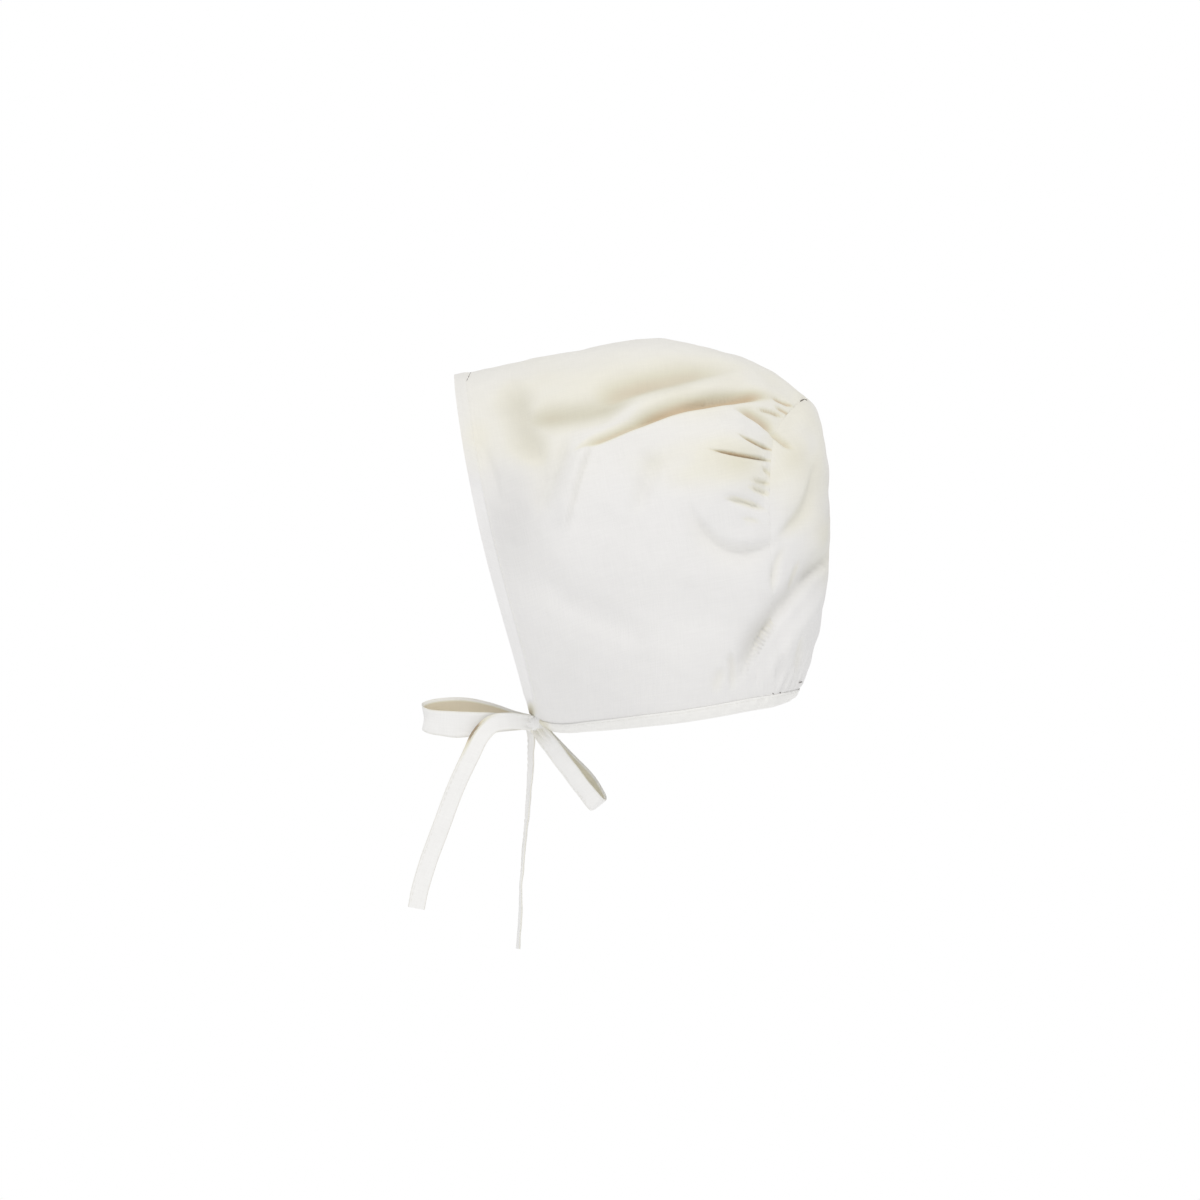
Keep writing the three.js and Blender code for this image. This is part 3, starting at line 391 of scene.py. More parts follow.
# At the seam the two panels share one direction, so that they meet edge to edge.
shared = unit(main_out[-1, : len(back_columns)] + back_facing[:, 0])
main_out[-1, : len(back_columns)] = shared
main_out[-1, -len(back_columns):] = (shared * np.array([1, -1, 1]))[::-1]
back_facing[:, 0] = shared
back_facing[:, -1] = shared * np.array([1, -1, 1])
blend_rows = 9  # of the main panel, over which the shared direction fades out
for j in range(1, blend_rows):
    share = ease(np.array(j / blend_rows))
    main_out[-1 - j] = unit(main_out[-1] * (1 - share) + main_out[-1 - j] * share)

across_mm = back_base[..., 1]
back_here = np.broadcast_to(back_columns[:, None], across_mm.shape)
back_over = ease((back_here - 1) / 2.5)
back_top = ease((47 - back_here) / 6)
back_seam = back_half_width * (1 - np.abs(back_across))[None]
back_broad, back_tan, back_painted_shade = fold_lift(folds, *seen_from_side(back_base))
back_broad = back_broad * ease(np.abs(across_mm) / fold_free)
back_gathers = 0.6 * gather_lift(back_here * 0.75, back_base[..., 2], back_seam)
back_nape = 0.9 * np.cos(2 * math.pi * across_mm / 5.2 + 1.4 * np.sin(across_mm / 3.7))
back_nape = back_nape * np.exp(-np.maximum(back_here - 1.2, 0) / 3.4) * ease((back_here - 0.9) / 1.2)
back_wavy = 0.3 * uneven(13, back_base, 24) + 0.1 * uneven(14, back_base, 9)
back_lift = back_over * back_gathers + back_nape + back_over * back_wavy
back_lift = back_lift * back_top * ease(back_seam / 8.4)
back_lift += back_over * (back_broad - seam_dip * bell(back_seam, 0.8))


def woven(name, cream, roughness):
    """Plain woven undyed cotton: fine crossing threads, a few thick ones, with painted tan and grey shade.
    """
    cloth = bpy.data.materials.new(name)
    cloth.use_nodes = True
    nodes, links = cloth.node_tree.nodes, cloth.node_tree.links
    shader = nodes["Principled BSDF"]
    shader.inputs["Roughness"].default_value = roughness
    shader.inputs["Sheen Weight"].default_value = 0.18
    shader.inputs["Sheen Roughness"].default_value = 0.55
    shader.inputs["Specular IOR Level"].default_value = 0.2

    def node(kind, **settings):
        made = nodes.new(kind)
        for key, value in settings.items():
            setattr(made, key, value)
        return made

    def reckon(operation, first, second=None):
        made = node("ShaderNodeMath", operation=operation)
        for socket, value in zip(made.inputs, (first, second)):
            if isinstance(value, (int, float)):
                socket.default_value = value
            elif value is not None:
                links.new(value, socket)
        return made.outputs[0]

    threads = node("ShaderNodeAttribute", attribute_name="thread")
    split = node("ShaderNodeSeparateXYZ")
    links.new(threads.outputs["Vector"], split.inputs[0])
    weave = reckon(
        "MULTIPLY",
        reckon("SINE", reckon("MULTIPLY", split.outputs[0], math.pi / thread_pitch)),
        reckon("SINE", reckon("MULTIPLY", split.outputs[1], math.pi / thread_pitch)),
    )
    slubs = []
    for stretch in ((0.09, 1.5, 0), (1.5, 0.09, 0)):
        place = node("ShaderNodeMapping")
        place.inputs["Scale"].default_value = stretch
        links.new(threads.outputs["Vector"], place.inputs[0])
        noise = node("ShaderNodeTexNoise")
        noise.inputs["Scale"].default_value = 1.0
        noise.inputs["Detail"].default_value = 2.0
        links.new(place.outputs[0], noise.inputs["Vector"])
        slubs.append(noise.outputs[0])
    slub = reckon("MULTIPLY", reckon("ADD", *slubs), 0.5)
    blotch = node("ShaderNodeTexNoise")
    blotch.inputs["Scale"].default_value = 0.045
    links.new(threads.outputs["Vector"], blotch.inputs["Vector"])
    warmth = node("ShaderNodeAttribute", attribute_name="warmth")
    painted_shade = node("ShaderNodeAttribute", attribute_name="painted_shade")
    tint = node("ShaderNodeValToRGB")
    steps = tint.color_ramp.elements
    # The lowest step is lighter than the cloth: painted light, used along the hem.
    steps[0].color = (*[min(0.94, part * 1.06) for part in cream], 1)
    steps[1].color = (*fold_shade_tan, 1)
    steps.new(0.04).color = (*cream, 1)
    steps.new(0.2).color = (*cream_and_warm_light, 1)
    steps.new(0.5).color = (*fold_shade_khaki, 1)
    links.new(warmth.outputs["Fac"], tint.inputs["Fac"])
    tone = reckon("ADD", reckon("MULTIPLY", slub, 0.10), reckon("MULTIPLY", blotch.outputs[0], 0.03))
    shade = node("ShaderNodeMix", data_type="RGBA", blend_type="MULTIPLY")
    shade.inputs["Factor"].default_value = 1.0
    links.new(tint.outputs["Color"], shade.inputs["A"])
    # Painted grey shade: this attribute darkens the colour by up to 17 percent.
    painted_shade_factor = reckon("SUBTRACT", 1.0, reckon("MULTIPLY", painted_shade.outputs["Fac"], 0.17))
    links.new(reckon("MULTIPLY", reckon("ADD", tone, 0.935), painted_shade_factor), shade.inputs["B"])
    links.new(shade.outputs["Result"], shader.inputs["Base Color"])
    bump = node("ShaderNodeBump")
    bump.inputs["Strength"].default_value = 0.4
    bump.inputs["Distance"].default_value = 0.00016
    height = reckon("ADD", reckon("MULTIPLY", weave, 0.35), reckon("MULTIPLY", slub, 1.6))
    links.new(height, bump.inputs["Height"])
    links.new(bump.outputs[0], shader.inputs["Normal"])
    return cloth


def sewn(name, points, faces, material, thread, warmth, painted_shade=None):
    """A piece of cloth, tape or thread that rides on the bonnet: points in metres, thread in mm."""
    mesh = bpy.data.meshes.new(name)
    mesh.from_pydata(np.asarray(points, float).tolist(), [], faces)
    mesh.attributes.new("thread", "FLOAT_VECTOR", "POINT").data.foreach_set(
        "vector", np.asarray(thread, np.float32).ravel()
    )
    for mark, values in (("warmth", warmth), ("painted_shade", painted_shade)):
        if values is not None:
            mesh.attributes.new(mark, "FLOAT", "POINT").data.foreach_set(
                "value", np.asarray(values, np.float32).ravel()
            )
    mesh.materials.append(material)
    mesh.polygons.foreach_set("use_smooth", [True] * len(mesh.polygons))
    mesh.set_sharp_from_angle(angle=math.radians(75))
    mesh.update()
    piece = in_scene(name, mesh)
    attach(piece, "root")
    return piece


def face_out(points, faces):
    """Whether these faces look out of the solid that they close."""
    corner = points[np.array(faces)]
    return (np.cross(corner[:, 0], corner[:, 1]) * corner[:, 2]).sum() > 0


def cloth_wall_mesh(outer, inner):
    """One closed wall between an outer and an inner grid of the same size."""
    points = np.concatenate([outer.reshape(-1, 3), inner.reshape(-1, 3)])
    number = np.arange(len(points) // 2).reshape(outer.shape[:2])
    quads = [number[:-1, :-1], number[:-1, 1:], number[1:, 1:], number[1:, :-1]]
    over = np.stack(quads, -1).reshape(-1, 4)
    rim = np.concatenate([number[0, :-1], number[:-1, -1], number[-1, :0:-1], number[:0:-1, 0]])
    after = np.roll(rim, -1)
    sides = np.stack([rim, rim + number.size, after + number.size, after], -1)
    faces = np.concatenate([over, over[:, [0, 3, 2, 1]] + number.size, sides])
    return points, (faces if face_out(points, faces) else faces[:, ::-1]).tolist()


def in_patch(base, x, z, reach_x, reach_z, amount):
    """How strong one patch is at these points, fading out from its centre."""
    away = ((base[..., 0] - x) / reach_x) ** 2 + ((base[..., 2] - z) / reach_z) ** 2
    return amount * np.exp(-away)


def warm_at(base, facing, tan):
    """Creamier in patches, creamier on cloth that faces up as painted warm light, and tan in folds as
    painted shade.
    """
    warm = 0.05 + ease((facing[..., 2] + 0.1) / 1.1) * 0.07
    for patch in cream_patches:
        warm = warm + in_patch(base, *patch) * (1 + 0.2 * uneven(21, base, 18))
    return np.clip(warm + tan, 0, 1)


def panel_piece(name, base, outer, inner, thread, warm, folded):
    """A panel as a closed wall of cloth, with painted grey shade outside in patches and folds, and none
    inside.
    """
    points, faces = cloth_wall_mesh(outer, inner)
    threads = np.stack([*thread, 0 * warm], -1).reshape(-1, 3)
    for patch in painted_shade_patches:
        folded = np.maximum(folded, in_patch(base, *patch))
    return sewn(
        name, points * MM, faces, cotton, np.tile(threads, (2, 1)),
        np.concatenate([warm.ravel(), np.full(warm.size, inside_warmth)]),
        np.concatenate([folded.ravel(), np.zeros(folded.size)]),
    )


cotton = woven("bonnet_cotton", cloth_cream, 0.92)
main_outer = main_base + main_out * main_lift[..., None]
hem_inside = 0.55 * (1 - ease((to_face - 5.6) / 0.7))
seam_inside = 0.8 * (1 - ease((to_seam - 3.5) / 1.5))
main_inner = main_outer - main_out * (cloth_wall + hem_inside + seam_inside * over_binding)[..., None]
main_warm = warm_at(main_base, unit(main_out), np.maximum(broad_tan, sharp_tan) * over_crown)
# Painted light: the hem band along the face is made lighter, more so towards the bottom.
main_warm -= 0.09 * (1 - ease((to_face - 4.6) / 0.6)) * (0.2 + 0.8 * ease((-40 - main_base[..., 2]) / 50))
main_thread = (distance_along(main_base), distance_along(main_base, 1))
main_cloth = panel_piece(
    "main_panel_cloth", main_base, main_outer, main_inner, main_thread, main_warm, main_painted_shade * over_crown,
)
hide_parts("main_panel")

back_outer = back_base + back_facing * back_lift[..., None]
back_inner = back_outer - back_facing * cloth_wall
back_thread = (across_mm * 1.15, distance_along(back_base))
back_warm = warm_at(back_base, unit(back_facing), back_tan)
back_cloth = panel_piece(
    "back_panel_cloth", back_base, back_outer, back_inner, back_thread, back_warm, back_painted_shade,
)
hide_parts("back_panel")

# The hem's stitches. One row of fine undyed thread runs all along the face, 5 mm in from the
# folded edge, and holds the turned cloth down.
thread_radius = 0.00011  # metres, as the sizes of the ties are
thread_cream = (0.86, 0.85, 0.82)
stitch_shape = ((0, 0.25), (0.12, 0.85), (0.5, 1.0), (0.88, 0.85), (1, 0.25))  # place along it, thickness


def ring_faces(rings, corners):
    """The faces between rings of points that follow each other."""
    faces = []
    for j in range(rings - 1):
        for i in range(corners):
            low, next_low = j * corners + i, j * corners + (i + 1) % corners
            faces.append((low, next_low, next_low + corners, low + corners))
    return faces


def thread_stitches(name, places, radius, material):
    """Single stitches of thread: each place is where it starts, where it ends and the way off the cloth."""
    sides = 6
    turn = np.linspace(0, 2 * math.pi, sides, endpoint=False)
    points, faces = [], []
    for start, end, up in places:
        first = len(points)
        aside = unit(np.cross(up, end - start))
        for share, size in stitch_shape:
            centre = start + (end - start) * share + up * radius * (1.1 * size - 0.75)
            for angle in turn:
                points.append(centre + radius * size * (aside * math.cos(angle) + up * math.sin(angle)))
        faces += [tuple(first + i for i in face) for face in ring_faces(len(stitch_shape), sides)]
        faces.append(tuple(first + i for i in reversed(range(sides))))
        faces.append(tuple(len(points) - sides + i for i in range(sides)))
    return sewn(name, points, faces, material, np.array(points) / MM, np.full(len(points), 0.08))


def stitch_row(name, line, out, every, long):
    """A row of fine stitches that lie on the cloth along a line of points."""
    steps = distance_along(line)
    starts = np.arange(every * 0.3, steps[-1] - long, every)
    places = zip(
        at_distances(line, steps, starts),
        at_distances(line, steps, starts + long),
        unit(at_distances(out, steps, starts + long / 2)),
    )
    return thread_stitches(name, places, thread_radius, sewing_thread)


sewing_thread = woven("sewing_thread", thread_cream, 0.75)
hem_row = int(np.argmin(np.abs(from_face - hem_line)))
hem_stitches = stitch_row(
    "hem_stitches", main_outer[hem_row, 12:-12] * MM, main_out[hem_row, 12:-12],
    every=0.0027, long=0.0020,
)

# A few stitches of dark thread at the end of the hem and the top of the seam make small dark marks on the
# side of the bow. Those along the nape are painted shadow: dark thread put where the gathers are shaded.
dark_brown = (0.17, 0.15, 0.13)
dark_marks_and_shadows = (  # half width of the thread, and seen from the side where each stitch starts and ends
    ("hem_tack", 0.16, [(-79.3, -12.8, -80.2, -15.4), (-80.3, -15.6, -81.0, -18.0)]),
    ("seam_tack", 0.3, [(58.4, -25.2, 60.6, -24.1), (60.6, -24.3, 61.5, -24.7)]),
    ("nape_painted_shadows", 0.2, [
        (56.4, -143.0, 59.6, -142.4), (57.0, -146.3, 58.6, -145.3), (46.2, -146.7, 47.0, -147.3),
        (49.5, -146.6, 49.9, -146.9), (52.4, -146.5, 52.8, -146.8),
    ]),
)


def even_finish(name, colour, **inputs):
    """A plain finish of one colour, with these values on its shader."""
    finish = bpy.data.materials.new(name)
    finish.use_nodes = True
    shader = finish.node_tree.nodes["Principled BSDF"]
    shader.inputs["Base Color"].default_value = (*colour, 1)
    for socket, value in inputs.items():
        shader.inputs[socket.replace("_", " ")].default_value = value
    return finish


dark_thread_and_shadow = even_finish("dark_thread_and_shadow", dark_brown, Roughness=0.8)
near_cloth = [
    (grid[grid[..., 1] < -4], out[grid[..., 1] < -4])
    for grid, out in ((main_outer, main_out), (back_outer, back_facing))
]
near_points, near_out = (np.concatenate(both) for both in zip(*near_cloth))


def on_cloth(x, z):
    """The point of the near side's cloth that is seen at this place, and the way off it."""
    away = np.hypot(near_points[:, 0] - x, near_points[:, 2] - z)
    closest = np.argsort(away)[:3]
    share = 1 / (away[closest] + 0.01)
    spot = (near_points[closest] * share[:, None]).sum(0) / share.sum()
    return np.array([x, spot[1], z]) * MM, unit(near_out[closest].sum(0))


for name, half_thread, marks in dark_marks_and_shadows:
    places = [(on_cloth(x, z)[0], on_cloth(u, v)[0], on_cloth(x, z)[1]) for x, z, u, v in marks]
    thread_stitches(name, places, half_thread * MM, dark_thread_and_shadow)

# The neck binding: a strip of tape folded over the lower edge of both panels, so that the same
# width shows inside and outside, and stitched through near its upper edge.
tape_cream = (0.92, 0.915, 0.90)
binding_start = 4.7  # how far in from the face edge it begins
binding_down = 2.2  # how far it goes below the edge of the cloth
binding_air = 0.1  # between it and the cloth
binding_wall = 0.5
fold_room = 0.5  # between the edge of the cloth and the fold of the tape
rim_taper = 0.28  # how much thinner the binding is at its upper edges
top_column = int(np.argmin(np.abs(half_columns - 1)))
start_row = int(np.argmin(np.abs(from_face - binding_start)))
low, high, low_in, high_in = (  # from the bow round the nape: the cloth's edge, the binding's top
    np.concatenate([main[start_row:-1, k], back[k], main[start_row:-1, -1 - k][::-1]])
    for main, back in ((main_outer, back_outer), (main_inner, back_inner))
    for k in (0, top_column)
)
edge_steps = distance_along(low)
even = np.linspace(0, edge_steps[-1], 330)
low, high, low_in, high_in = (
    at_distances(rows, edge_steps, even) for rows in (low, high, low_in, high_in)
)
ease_in = ease(np.minimum(even, even[-1] - even) / 5)
reach_up = (0.5 + 0.5 * ease_in)[:, None]
down = unit(low - high)
out_low, out_high = unit(low - low_in), unit(high - high_in)
top, top_in = low + (high - low) * reach_up, low_in + (high_in - low_in) * reach_up
gathered = bell(even - even[-1] / 2, 60)
ruck = (0.06 + 0.12 * gathered) * uneven(15, np.stack([even, 0 * even, 0 * even], 1) * 2.2, 9)
skin = binding_air + binding_wall
sections = []


def up_binding(share, foot, head):
    """Points at this share of the binding's height, and the way out of the cloth there."""
    return foot + (head - foot) * share, unit(out_low + (out_high - out_low) * share)


for share in (1.0, 0.97, 0.88, 0.76, 0.64, 0.5, 0.34, 0.16, 0.0):
    spot, way = up_binding(share, low, top)
    full = skin - rim_taper * (share > 0.99) + 0.14 * math.sin(math.pi * share)
    groove = 0.14 * bell(share - 0.76, 0.09)
    swell = ruck * (0.4 + math.sin(math.pi * min(1, share + 0.15)))
    sections.append(spot + way * (full - groove + swell)[:, None])
half_gap = np.linalg.norm(low - low_in, axis=1)[:, None] / 2
middle_low = (low + low_in) / 2
for angle in np.linspace(0, math.pi, 9):
    spread = half_gap + skin
    side_part = out_low * spread * math.cos(angle)
    drop_part = down * (fold_room + (binding_down - fold_room) * math.sin(angle) ** 0.75)
    sections.append(middle_low + side_part + drop_part * (1 if 0 < angle < math.pi else 0.6))
for share in (0.16, 0.5, 0.76, 0.97, 1.0):
    spot, way = up_binding(share, low_in, top_in)
    sections.append(spot - way * (skin - rim_taper * (share > 0.99)))
for share in (1.0, 0.5, 0.1):
    spot, way = up_binding(share, low_in, top_in)
    sections.append(spot - way * binding_air)
sections.append(middle_low + down * fold_room)
for share in (0.1, 0.5, 1.0):
    spot, way = up_binding(share, low, top)
    sections.append(spot + way * binding_air)
binding_grid = np.stack(sections, 1)
count, corners = binding_grid.shape[:2]
binding_faces = ring_faces(count, corners)
binding_faces.append(tuple(range(corners - 1, -1, -1)))
binding_faces.append(tuple((count - 1) * corners + i for i in range(corners)))
binding_points = binding_grid.reshape(-1, 3)
if not face_out(binding_points, binding_faces[:-2]):
    binding_faces = [face[::-1] for face in binding_faces]
binding_thread = np.zeros((count, corners, 3))
binding_thread[..., 0] = even[:, None]
binding_thread[..., 1] = distance_along(binding_grid.mean(0))[None]
tape_cotton = woven("tape_cotton", tape_cream, 0.9)
# Its tint turns khaki close to the bow: painted shade where the binding runs into the knot.
binding = sewn(
    "neck_binding_tape", binding_points * MM, binding_faces, tape_cotton, binding_thread.reshape(-1, 3),
    0.07 + 0.4 * np.repeat(bell(even, 4), corners),
)
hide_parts("neck_binding")
binding_stitches = stitch_row(
    "binding_stitches", binding_grid[6:-6, 3] * MM, out_high[6:-6],
    every=0.0026, long=0.0019,
)


# The two hanging ends of the ties. Each is a strip of the bonnet's own cloth, folded to four
# layers, stitched close along one edge, about 7 mm wide, and hangs free from the knot.
tape_thickness = 0.00085
tape_across = np.linspace(-1, 1, 13)
tape_rim = 1.05  # how far the rounded edge goes past the flat of a section
tape_stitches = {"place": -0.74, "every": 0.0026, "long": 0.0018}
tail_front_rows = [  # x, y, z, width in metres, and the degrees it faces away
    (-0.0540, -0.0080, -0.1596, 0.0060, 0),
    (-0.0572, -0.0098, -0.1592, 0.0064, 0),
    (-0.0635, -0.0124, -0.1588, 0.0069, 0),
    (-0.0700, -0.0136, -0.1600, 0.0073, 4),
    (-0.0752, -0.0138, -0.1650, 0.0075, 8),
    (-0.0792, -0.0134, -0.1732, 0.0073, 10),
    (-0.0856, -0.0126, -0.1870, 0.0071, 8),
    (-0.0916, -0.0116, -0.2030, 0.0071, 4),
    (-0.0968, -0.0110, -0.2170, 0.0070, 2),
    (-0.1004, -0.0110, -0.2290, 0.0069, 4),
    (-0.1020, -0.0112, -0.2372, 0.0068, 6),
]
tail_rear_rows = [
    (-0.0542, -0.0050, -0.1610, 0.0052, 50),
    (-0.0543, -0.0042, -0.1651, 0.0062, 62),
    (-0.0543, -0.0036, -0.1710, 0.0068, 70),
    (-0.0544, -0.0034, -0.1820, 0.0069, 76),
    (-0.0556, -0.0034, -0.1990, 0.0069, 80),
    (-0.0569, -0.0036, -0.2120, 0.0069, 79),
    (-0.0584, -0.0039, -0.2280, 0.0069, 84),
    (-0.0585, -0.0040, -0.2370, 0.0068, 88),
    (-0.0596, -0.0040, -0.2544, 0.0068, 82),
]


def tape_line(rows, count, across_at):
    """Even sections of a tape: its centres, the way across it, the way out of its face, and its width."""
    table = smooth(rows, np.linspace(0, len(rows) - 1, count))
    centres = table[:, :3]
    run = unit(np.gradient(centres, axis=0))
    across = across_at(run, table)
    across = unit(across - (across * run).sum(1, keepdims=True) * run)
    return centres, across, unit(np.cross(run, across)), table[:, 3]


def tape_piece(name, line, bend, warmth, seed):
    """A folded tape along a line of sections. bend lifts each section off its flat plane."""
    centres, across, out, width = line
    count, half = len(centres), len(tape_across)
    a = np.concatenate([tape_across, [tape_rim], tape_across[::-1], [-tape_rim]])
    thick = tape_thickness / 2 * (1 - 0.4 * np.abs(np.clip(a, -1, 1)) ** 8)
    side = np.concatenate([np.ones(half), [0], -np.ones(half), [0]])
    shares = np.linspace(0, 1, count)[:, None]
    lift = bend(shares, np.clip(a, -1, 1)[None, :]) + side * thick
    points = (
        centres[:, None]
        + across[:, None] * (a[None, :, None] * width[:, None, None] / 2)
        + out[:, None] * lift[:, :, None]
    )
    points += out[:, None] * (0.00012 * uneven(seed, points, 0.009))[:, :, None]
    corners = len(a)
    caps = [(i, i + 1, 2 * half - 1 - i, 2 * half - i) for i in range(half - 1)]
    caps += [(half - 1, half, half + 1), (2 * half, 2 * half + 1, 0)]
    last = (count - 1) * corners
    faces = [face[::-1] for face in ring_faces(count, corners)] + caps
    faces += [tuple(last + i for i in reversed(cap)) for cap in caps]
    thread = np.zeros((count, corners, 3))
    thread[..., 0] = distance_along(centres)[:, None] / MM
    thread[..., 1] = (a[None, :] * width[:, None] / 2) / MM + side * 3.0
    # The edges get a faint tan, painted shade, and where the tint is strongest the colour is also darkened:
    # painted grey shade.
    warm = warmth(shares, side[None, :], a[None, :]) + 0.05 * np.abs(a[None, :]) ** 24
    warm = np.broadcast_to(warm, (count, corners))
    painted_shade = 2.4 * ease((warm - 0.76) / 0.2)
    return sewn(name, points.reshape(-1, 3), faces, tape_cotton, thread.reshape(-1, 3), warm, painted_shade)


def hanging(run, table):
    """A hanging end is level across, turned from the viewer by its row's degrees."""
    angle = np.radians(table[:, 4:5])
    level = unit(np.stack([-run[:, 2], 0 * run[:, 0], run[:, 0]], 1))
    return level * np.cos(angle) - np.array([0, 1, 0]) * np.sin(angle)


def edge_stitches(name, line, bend):
    """Stitches close to one edge of a tape, on the face that looks out."""
    centres, across, out, width = line
    place = tape_stitches["place"]
    shares = np.linspace(0, 1, len(centres))
    lift = bend(shares[:, None], np.full((1, 1), place))[:, 0] + tape_thickness / 2 * 0.98
    points = centres + across * (place * width / 2)[:, None] + out * lift[:, None]
    return stitch_row(name, points, out, tape_stitches["every"], tape_stitches["long"])


def front_hang(share, a):
    """Folded lengthwise where it leaves the knot, and slightly hollow further down."""
    return 0.0007 * (1 - ease(share / 0.16)) * np.cos(2.2 * math.pi * a) + 0.00045 * a * a


def rear_hang(share, a):
    """Folded lengthwise where it leaves the knot, and rippled further down."""
    folded = 0.0008 * (1 - ease(share / 0.14)) * np.cos(2.2 * math.pi * a)
    return folded + 0.0003 * np.sin(math.pi * a + 9 * share)


def front_warmth(share, side, a):
    """Painted shadow: a tan line along one edge near the bend, where the tail lies over the loop."""
    return 0.05 + 1.05 * bell(share - 0.40, 0.075) * ease((-a - 0.6) / 0.2)


def rear_warmth(share, side, a):
    """Even all along, with no painted shade of its own."""
    return 0.05


for name, rows, count, bend, warmth, seed in (
    ("tail_front", tail_front_rows, 110, front_hang, front_warmth, 3),
    ("tail_rear", tail_rear_rows, 100, rear_hang, rear_warmth, 4),
):
    line = tape_line(rows, count, hanging)
    tail = tape_piece(f"{name}_tape", line, bend, warmth, seed)
    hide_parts(name)
    stitches = edge_stitches(f"{name}_stitches", line, bend)

# The bow. Two loops of the same tape spring from the knot, one straight forward and one down
# and back. Each is pinched into small pleats at the knot, opens out, and turns over at its tip.
knot_centre = np.array([-0.0525, -0.005, -0.1597])
knot_half = 0.0035
loop_front_rows = [  # along the loop, towards the viewer, up across it, and its width
    (-0.0024, 0.0016, 0.0002, 0.0054),
    (0.0060, 0.0036, 0.0004, 0.0070),
    (0.0160, 0.0054, 0.0002, 0.0092),
    (0.0280, 0.0060, -0.0004, 0.0112),
    (0.0380, 0.0054, 0.0004, 0.0106),
    (0.0420, 0.0034, 0.0014, 0.0100),
    (0.0428, 0.0004, 0.0024, 0.0098),
    (0.0416, -0.0025, 0.0039, 0.0096),
    (0.0360, -0.0044, 0.0053, 0.0095),
    (0.0260, -0.0050, 0.0056, 0.0094),
    (0.0160, -0.0044, 0.0042, 0.0082),
    (0.0060, -0.0028, 0.0017, 0.0066),
    (-0.0024, -0.0012, 0.0004, 0.0052),
]
loop_rear_rows = [
    (-0.0022, 0.0018, -0.0003, 0.0062),
    (0.0070, 0.0042, -0.0006, 0.0074),
    (0.0170, 0.0048, -0.0008, 0.0075),
    (0.0280, 0.0046, -0.0010, 0.0075),
    (0.0374, 0.0030, -0.0009, 0.0074),
    (0.0402, 0.0004, -0.0002, 0.0072),
    (0.0378, -0.0024, 0.0014, 0.0069),
    (0.0288, -0.0044, 0.0023, 0.0069),
    (0.0170, -0.0038, 0.0011, 0.0068),
    (0.0070, -0.0022, 0.0002, 0.0066),
    (-0.0022, -0.0010, 0.0000, 0.0050),
]


def pinched(share, a):
    """Small pleats at both ends of a loop, where the knot gathers it."""
    ends = 1 - ease(np.minimum(share, 1 - share) / 0.17)
    return 0.0009 * ends * np.cos(2.6 * math.pi * a) - 0.0005 * a * a * (1 - ends)


def leaning(table, up, lean):
    """The near half of a loop leans over a little, so that its face looks down."""
    nearness = np.clip((knot_centre[1] - table[:, 1:2]) / 0.005, 0, 1)
    return up + np.array([0, -lean, 0]) * nearness


def loop_warmth(share, inside, a, inner_tan):
    """Painted shade: tan inside but for the folded edge on top; a little creamier where it is pinched."""
    tan = inner_tan * inside * (1 - ease((a - 0.66) / 0.2))
    return 0.05 + tan + 0.12 * (1 - ease(np.minimum(share, 1 - share) / 0.12)) * (tan == 0)


for name, rows, degrees, lean, inner_side, inner_tan, count, seed in (
    ("loop_front", loop_front_rows, 180, 0.36, 1, 0.66, 150, 5),
    ("loop_rear", loop_rear_rows, -52, 0.46, -1, 0.48, 130, 6),
):
    angle = math.radians(degrees)
    along = np.array([math.cos(angle), 0, math.sin(angle)])
    up = np.array([-math.sin(angle), 0, math.cos(angle)])
    up = -up if up[2] < 0 else up
    placed = [
        (*(knot_centre + along * (knot_half + far) + up * rise - np.array([0, near, 0])), width)
        for far, near, rise, width in rows
    ]
    line = tape_line(placed, count, lambda run, table: leaning(table, up, lean))
    loop = tape_piece(
        f"{name}_tape", line, pinched,
        lambda share, side, a: loop_warmth(share, side * inner_side > 0, a, inner_tan), seed,
    )
    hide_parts(name)
    edge_stitches(f"{name}_stitches", line, pinched)

# The far tie. The same folded tape is sewn into the end of the binding at the far corner of the
# face, comes across under the face edge and is held in the back of the knot, out of sight.
far_rows = [
    (-0.0507, 0.0076, -0.1618, 0.0042),
    (-0.0515, 0.0056, -0.1613, 0.0046),
    (-0.0523, 0.0030, -0.1606, 0.0048),
    (-0.0526, -0.0002, -0.1600, 0.0044),
]
far_line = tape_line(far_rows, 24, lambda run, table: np.array([0, 0, 1.0]))
tie_far = tape_piece(
    "tie_far_tape", far_line, lambda share, a: 0.0004 * np.cos(2 * math.pi * a),
    lambda share, side, a: 0.1, 7,
)
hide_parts("tie_far")

# The knot. One turn of tape goes round the pinched middle of the bow, over a core of gathered
# tape, and the whole is pulled tight, so that its layers run into each other.
knot_skin_voxel = 0.00016
knot_radius = 3.4  # millimetres, for the run of the threads round it


def knot_turn(radius_y, radius_z, wide, lean, shift):
    """A band once round the knot: its outer and inner skin as one closed ring."""
    steps, corners = 64, 24
    points = []
    for j in range(steps):
        angle = 2 * math.pi * j / steps
        out = np.array([0, -math.cos(angle), math.sin(angle)])
        square = np.sign(out) * np.abs(out) ** 0.7
        centre = knot_centre + np.array([shift + lean * math.sin(angle), 0, 0])
        centre = centre + square * np.array([0, radius_y, radius_z])
        spread = wide * (0.94 + 0.06 * math.cos(2 * angle))
        for i in range(corners):
            around = 2 * math.pi * i / corners
            place_across = math.cos(around)
            crease = 0.00015 * math.cos(2.6 * math.pi * place_across + 1.1 * math.sin(angle))
            points.append(
                centre
                + np.array([spread / 2 * place_across, 0, 0])
                + out * (0.00055 * math.sin(around) + crease)
            )
    return points, [tuple(i % len(points) for i in face) for face in ring_faces(steps + 1, corners)]


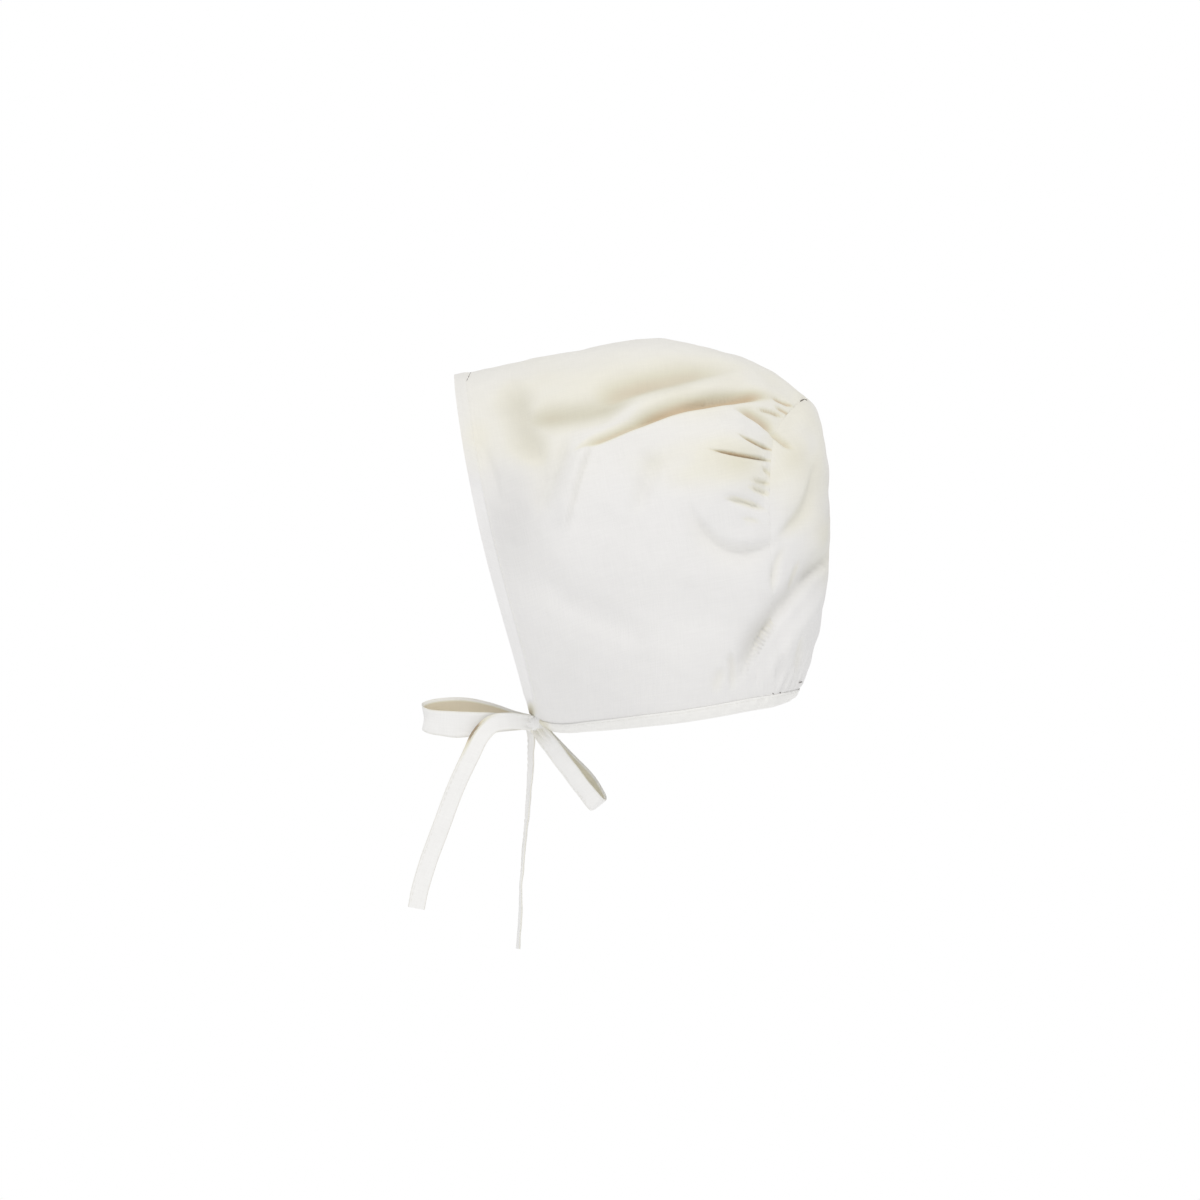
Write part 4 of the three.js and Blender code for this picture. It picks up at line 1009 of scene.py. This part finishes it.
def knot_core(half_x, half_y, half_z):
    """The gathered tape inside the turn, ribbed lengthwise."""
    around, rings = 40, 20
    points, faces = [knot_centre - np.array([half_x, 0, 0])], []
    for j in range(1, rings):
        tilt = math.pi * j / rings
        for i in range(around):
            angle = 2 * math.pi * i / around
            size = math.sin(tilt) ** 0.6 * (1 + 0.07 * math.cos(7 * angle))
            towards, above = half_y * size * math.cos(angle), half_z * size * math.sin(angle)
            points.append(knot_centre + np.array([-half_x * math.cos(tilt), towards, above]))
    points.append(knot_centre + np.array([half_x, 0, 0]))
    last = len(points) - 1
    for i in range(around):
        after = (i + 1) % around
        faces.append((0, 1 + after, 1 + i))
        faces.append((last, last - around + i, last - around + after))
        for j in range(rings - 2):
            a, b = 1 + j * around + i, 1 + j * around + after
            faces.append((a, b, b + around, a + around))
    return points, faces


knot_parts = [
    knot_core(half_x=0.0036, half_y=0.0032, half_z=0.0026),
    knot_turn(radius_y=0.0035, radius_z=0.0030, wide=0.0056, lean=0.0007, shift=-0.0003),
    knot_turn(radius_y=0.0030, radius_z=0.0026, wide=0.0064, lean=-0.0010, shift=0.0004),
]
rough = bpy.data.meshes.new("knot_rough")
all_points, all_faces = [], []
for points, faces in knot_parts:
    all_faces += [tuple(i + len(all_points) for i in face) for face in faces]
    all_points += points
rough.from_pydata(np.array(all_points).tolist(), [], all_faces)
knot_maker = in_scene("knot_rough", rough)
knot_melt = knot_maker.modifiers.new("one_skin", "REMESH")
knot_melt.mode = "VOXEL"
knot_melt.voxel_size = knot_skin_voxel
knot_soft = knot_maker.modifiers.new("soft", "SMOOTH")
knot_soft.factor = 0.5
knot_soft.iterations = 3
settled = knot_maker.evaluated_get(bpy.context.evaluated_depsgraph_get()).to_mesh()
knot_points = np.array([v.co for v in settled.vertices], float)
knot_faces = [tuple(p.vertices) for p in settled.polygons]
bpy.data.objects.remove(knot_maker)
knot_round = np.arctan2(knot_points[:, 2] - knot_centre[2], knot_points[:, 1] - knot_centre[1])
knot_thread = np.stack([knot_round * knot_radius, knot_points[:, 0] / MM, 0 * knot_round], 1)
knot_depth = np.linalg.norm((knot_points - knot_centre)[:, 1:], axis=1)
# The tint turns khaki in the knot's hollows, close to its middle: painted shade.
knot = sewn(
    "bow_knot_tape", knot_points, knot_faces, tape_cotton, knot_thread,
    0.04 + 0.35 * (1 - ease((knot_depth - 0.0025) / 0.0008)),
)
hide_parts("bow_knot")

# The studio. A pale floor lies far below, the surround is an even white, and one soft lamp
# stands in front, high up.
floor_corners = 96
floor_radius = 6
floor_height = -1.05
floor_mesh = bpy.data.meshes.new("studio_floor")
floor_turn = np.linspace(0, 2 * math.pi, floor_corners, endpoint=False)
floor_rim = [(floor_radius * math.cos(t), floor_radius * math.sin(t), floor_height) for t in floor_turn]
floor_mesh.from_pydata(floor_rim, [], [tuple(range(floor_corners))])
floor_mesh.materials.append(even_finish(
    "studio_floor", (0.5, 0.5, 0.5), Roughness=0.9, Emission_Color=(1, 1, 1, 1), Emission_Strength=0.55,
))
floor = in_scene("studio_floor", floor_mesh)

world = bpy.data.worlds.new("white_studio")
world.use_nodes = True
bpy.context.scene.world = world
world_nodes, world_links = world.node_tree.nodes, world.node_tree.links
lit_by = world_nodes["Background"]
lit_by.inputs["Color"].default_value = (0.985, 0.985, 1.0, 1)
lit_by.inputs["Strength"].default_value = 0.71
seen = world_nodes.new("ShaderNodeBackground")
seen.inputs["Color"].default_value = (1, 1, 1, 1)
ray = world_nodes.new("ShaderNodeLightPath")
choose = world_nodes.new("ShaderNodeMixShader")
world_links.new(ray.outputs["Is Camera Ray"], choose.inputs[0])
world_links.new(lit_by.outputs[0], choose.inputs[1])
world_links.new(seen.outputs[0], choose.inputs[2])
world_links.new(choose.outputs[0], world_nodes["World Output"].inputs[0])

lamp_place = np.array([0.05, -2.0, 2.2])
lamp = bpy.data.lights.new("high_soft_lamp", "AREA")
lamp.energy = 27
lamp.size = 0.9
lamp.color = (1.0, 0.985, 0.96)
light = in_scene("high_soft_lamp", lamp)
light.location = lamp_place
aim = np.array([0.0, 0.0, -0.09]) - lamp_place
lamp_tilt = math.acos(-aim[2] / np.linalg.norm(aim))
light.rotation_euler = (lamp_tilt, 0, math.atan2(aim[1], aim[0]) - math.pi / 2)

bpy.context.scene.view_settings.view_transform = "Standard"
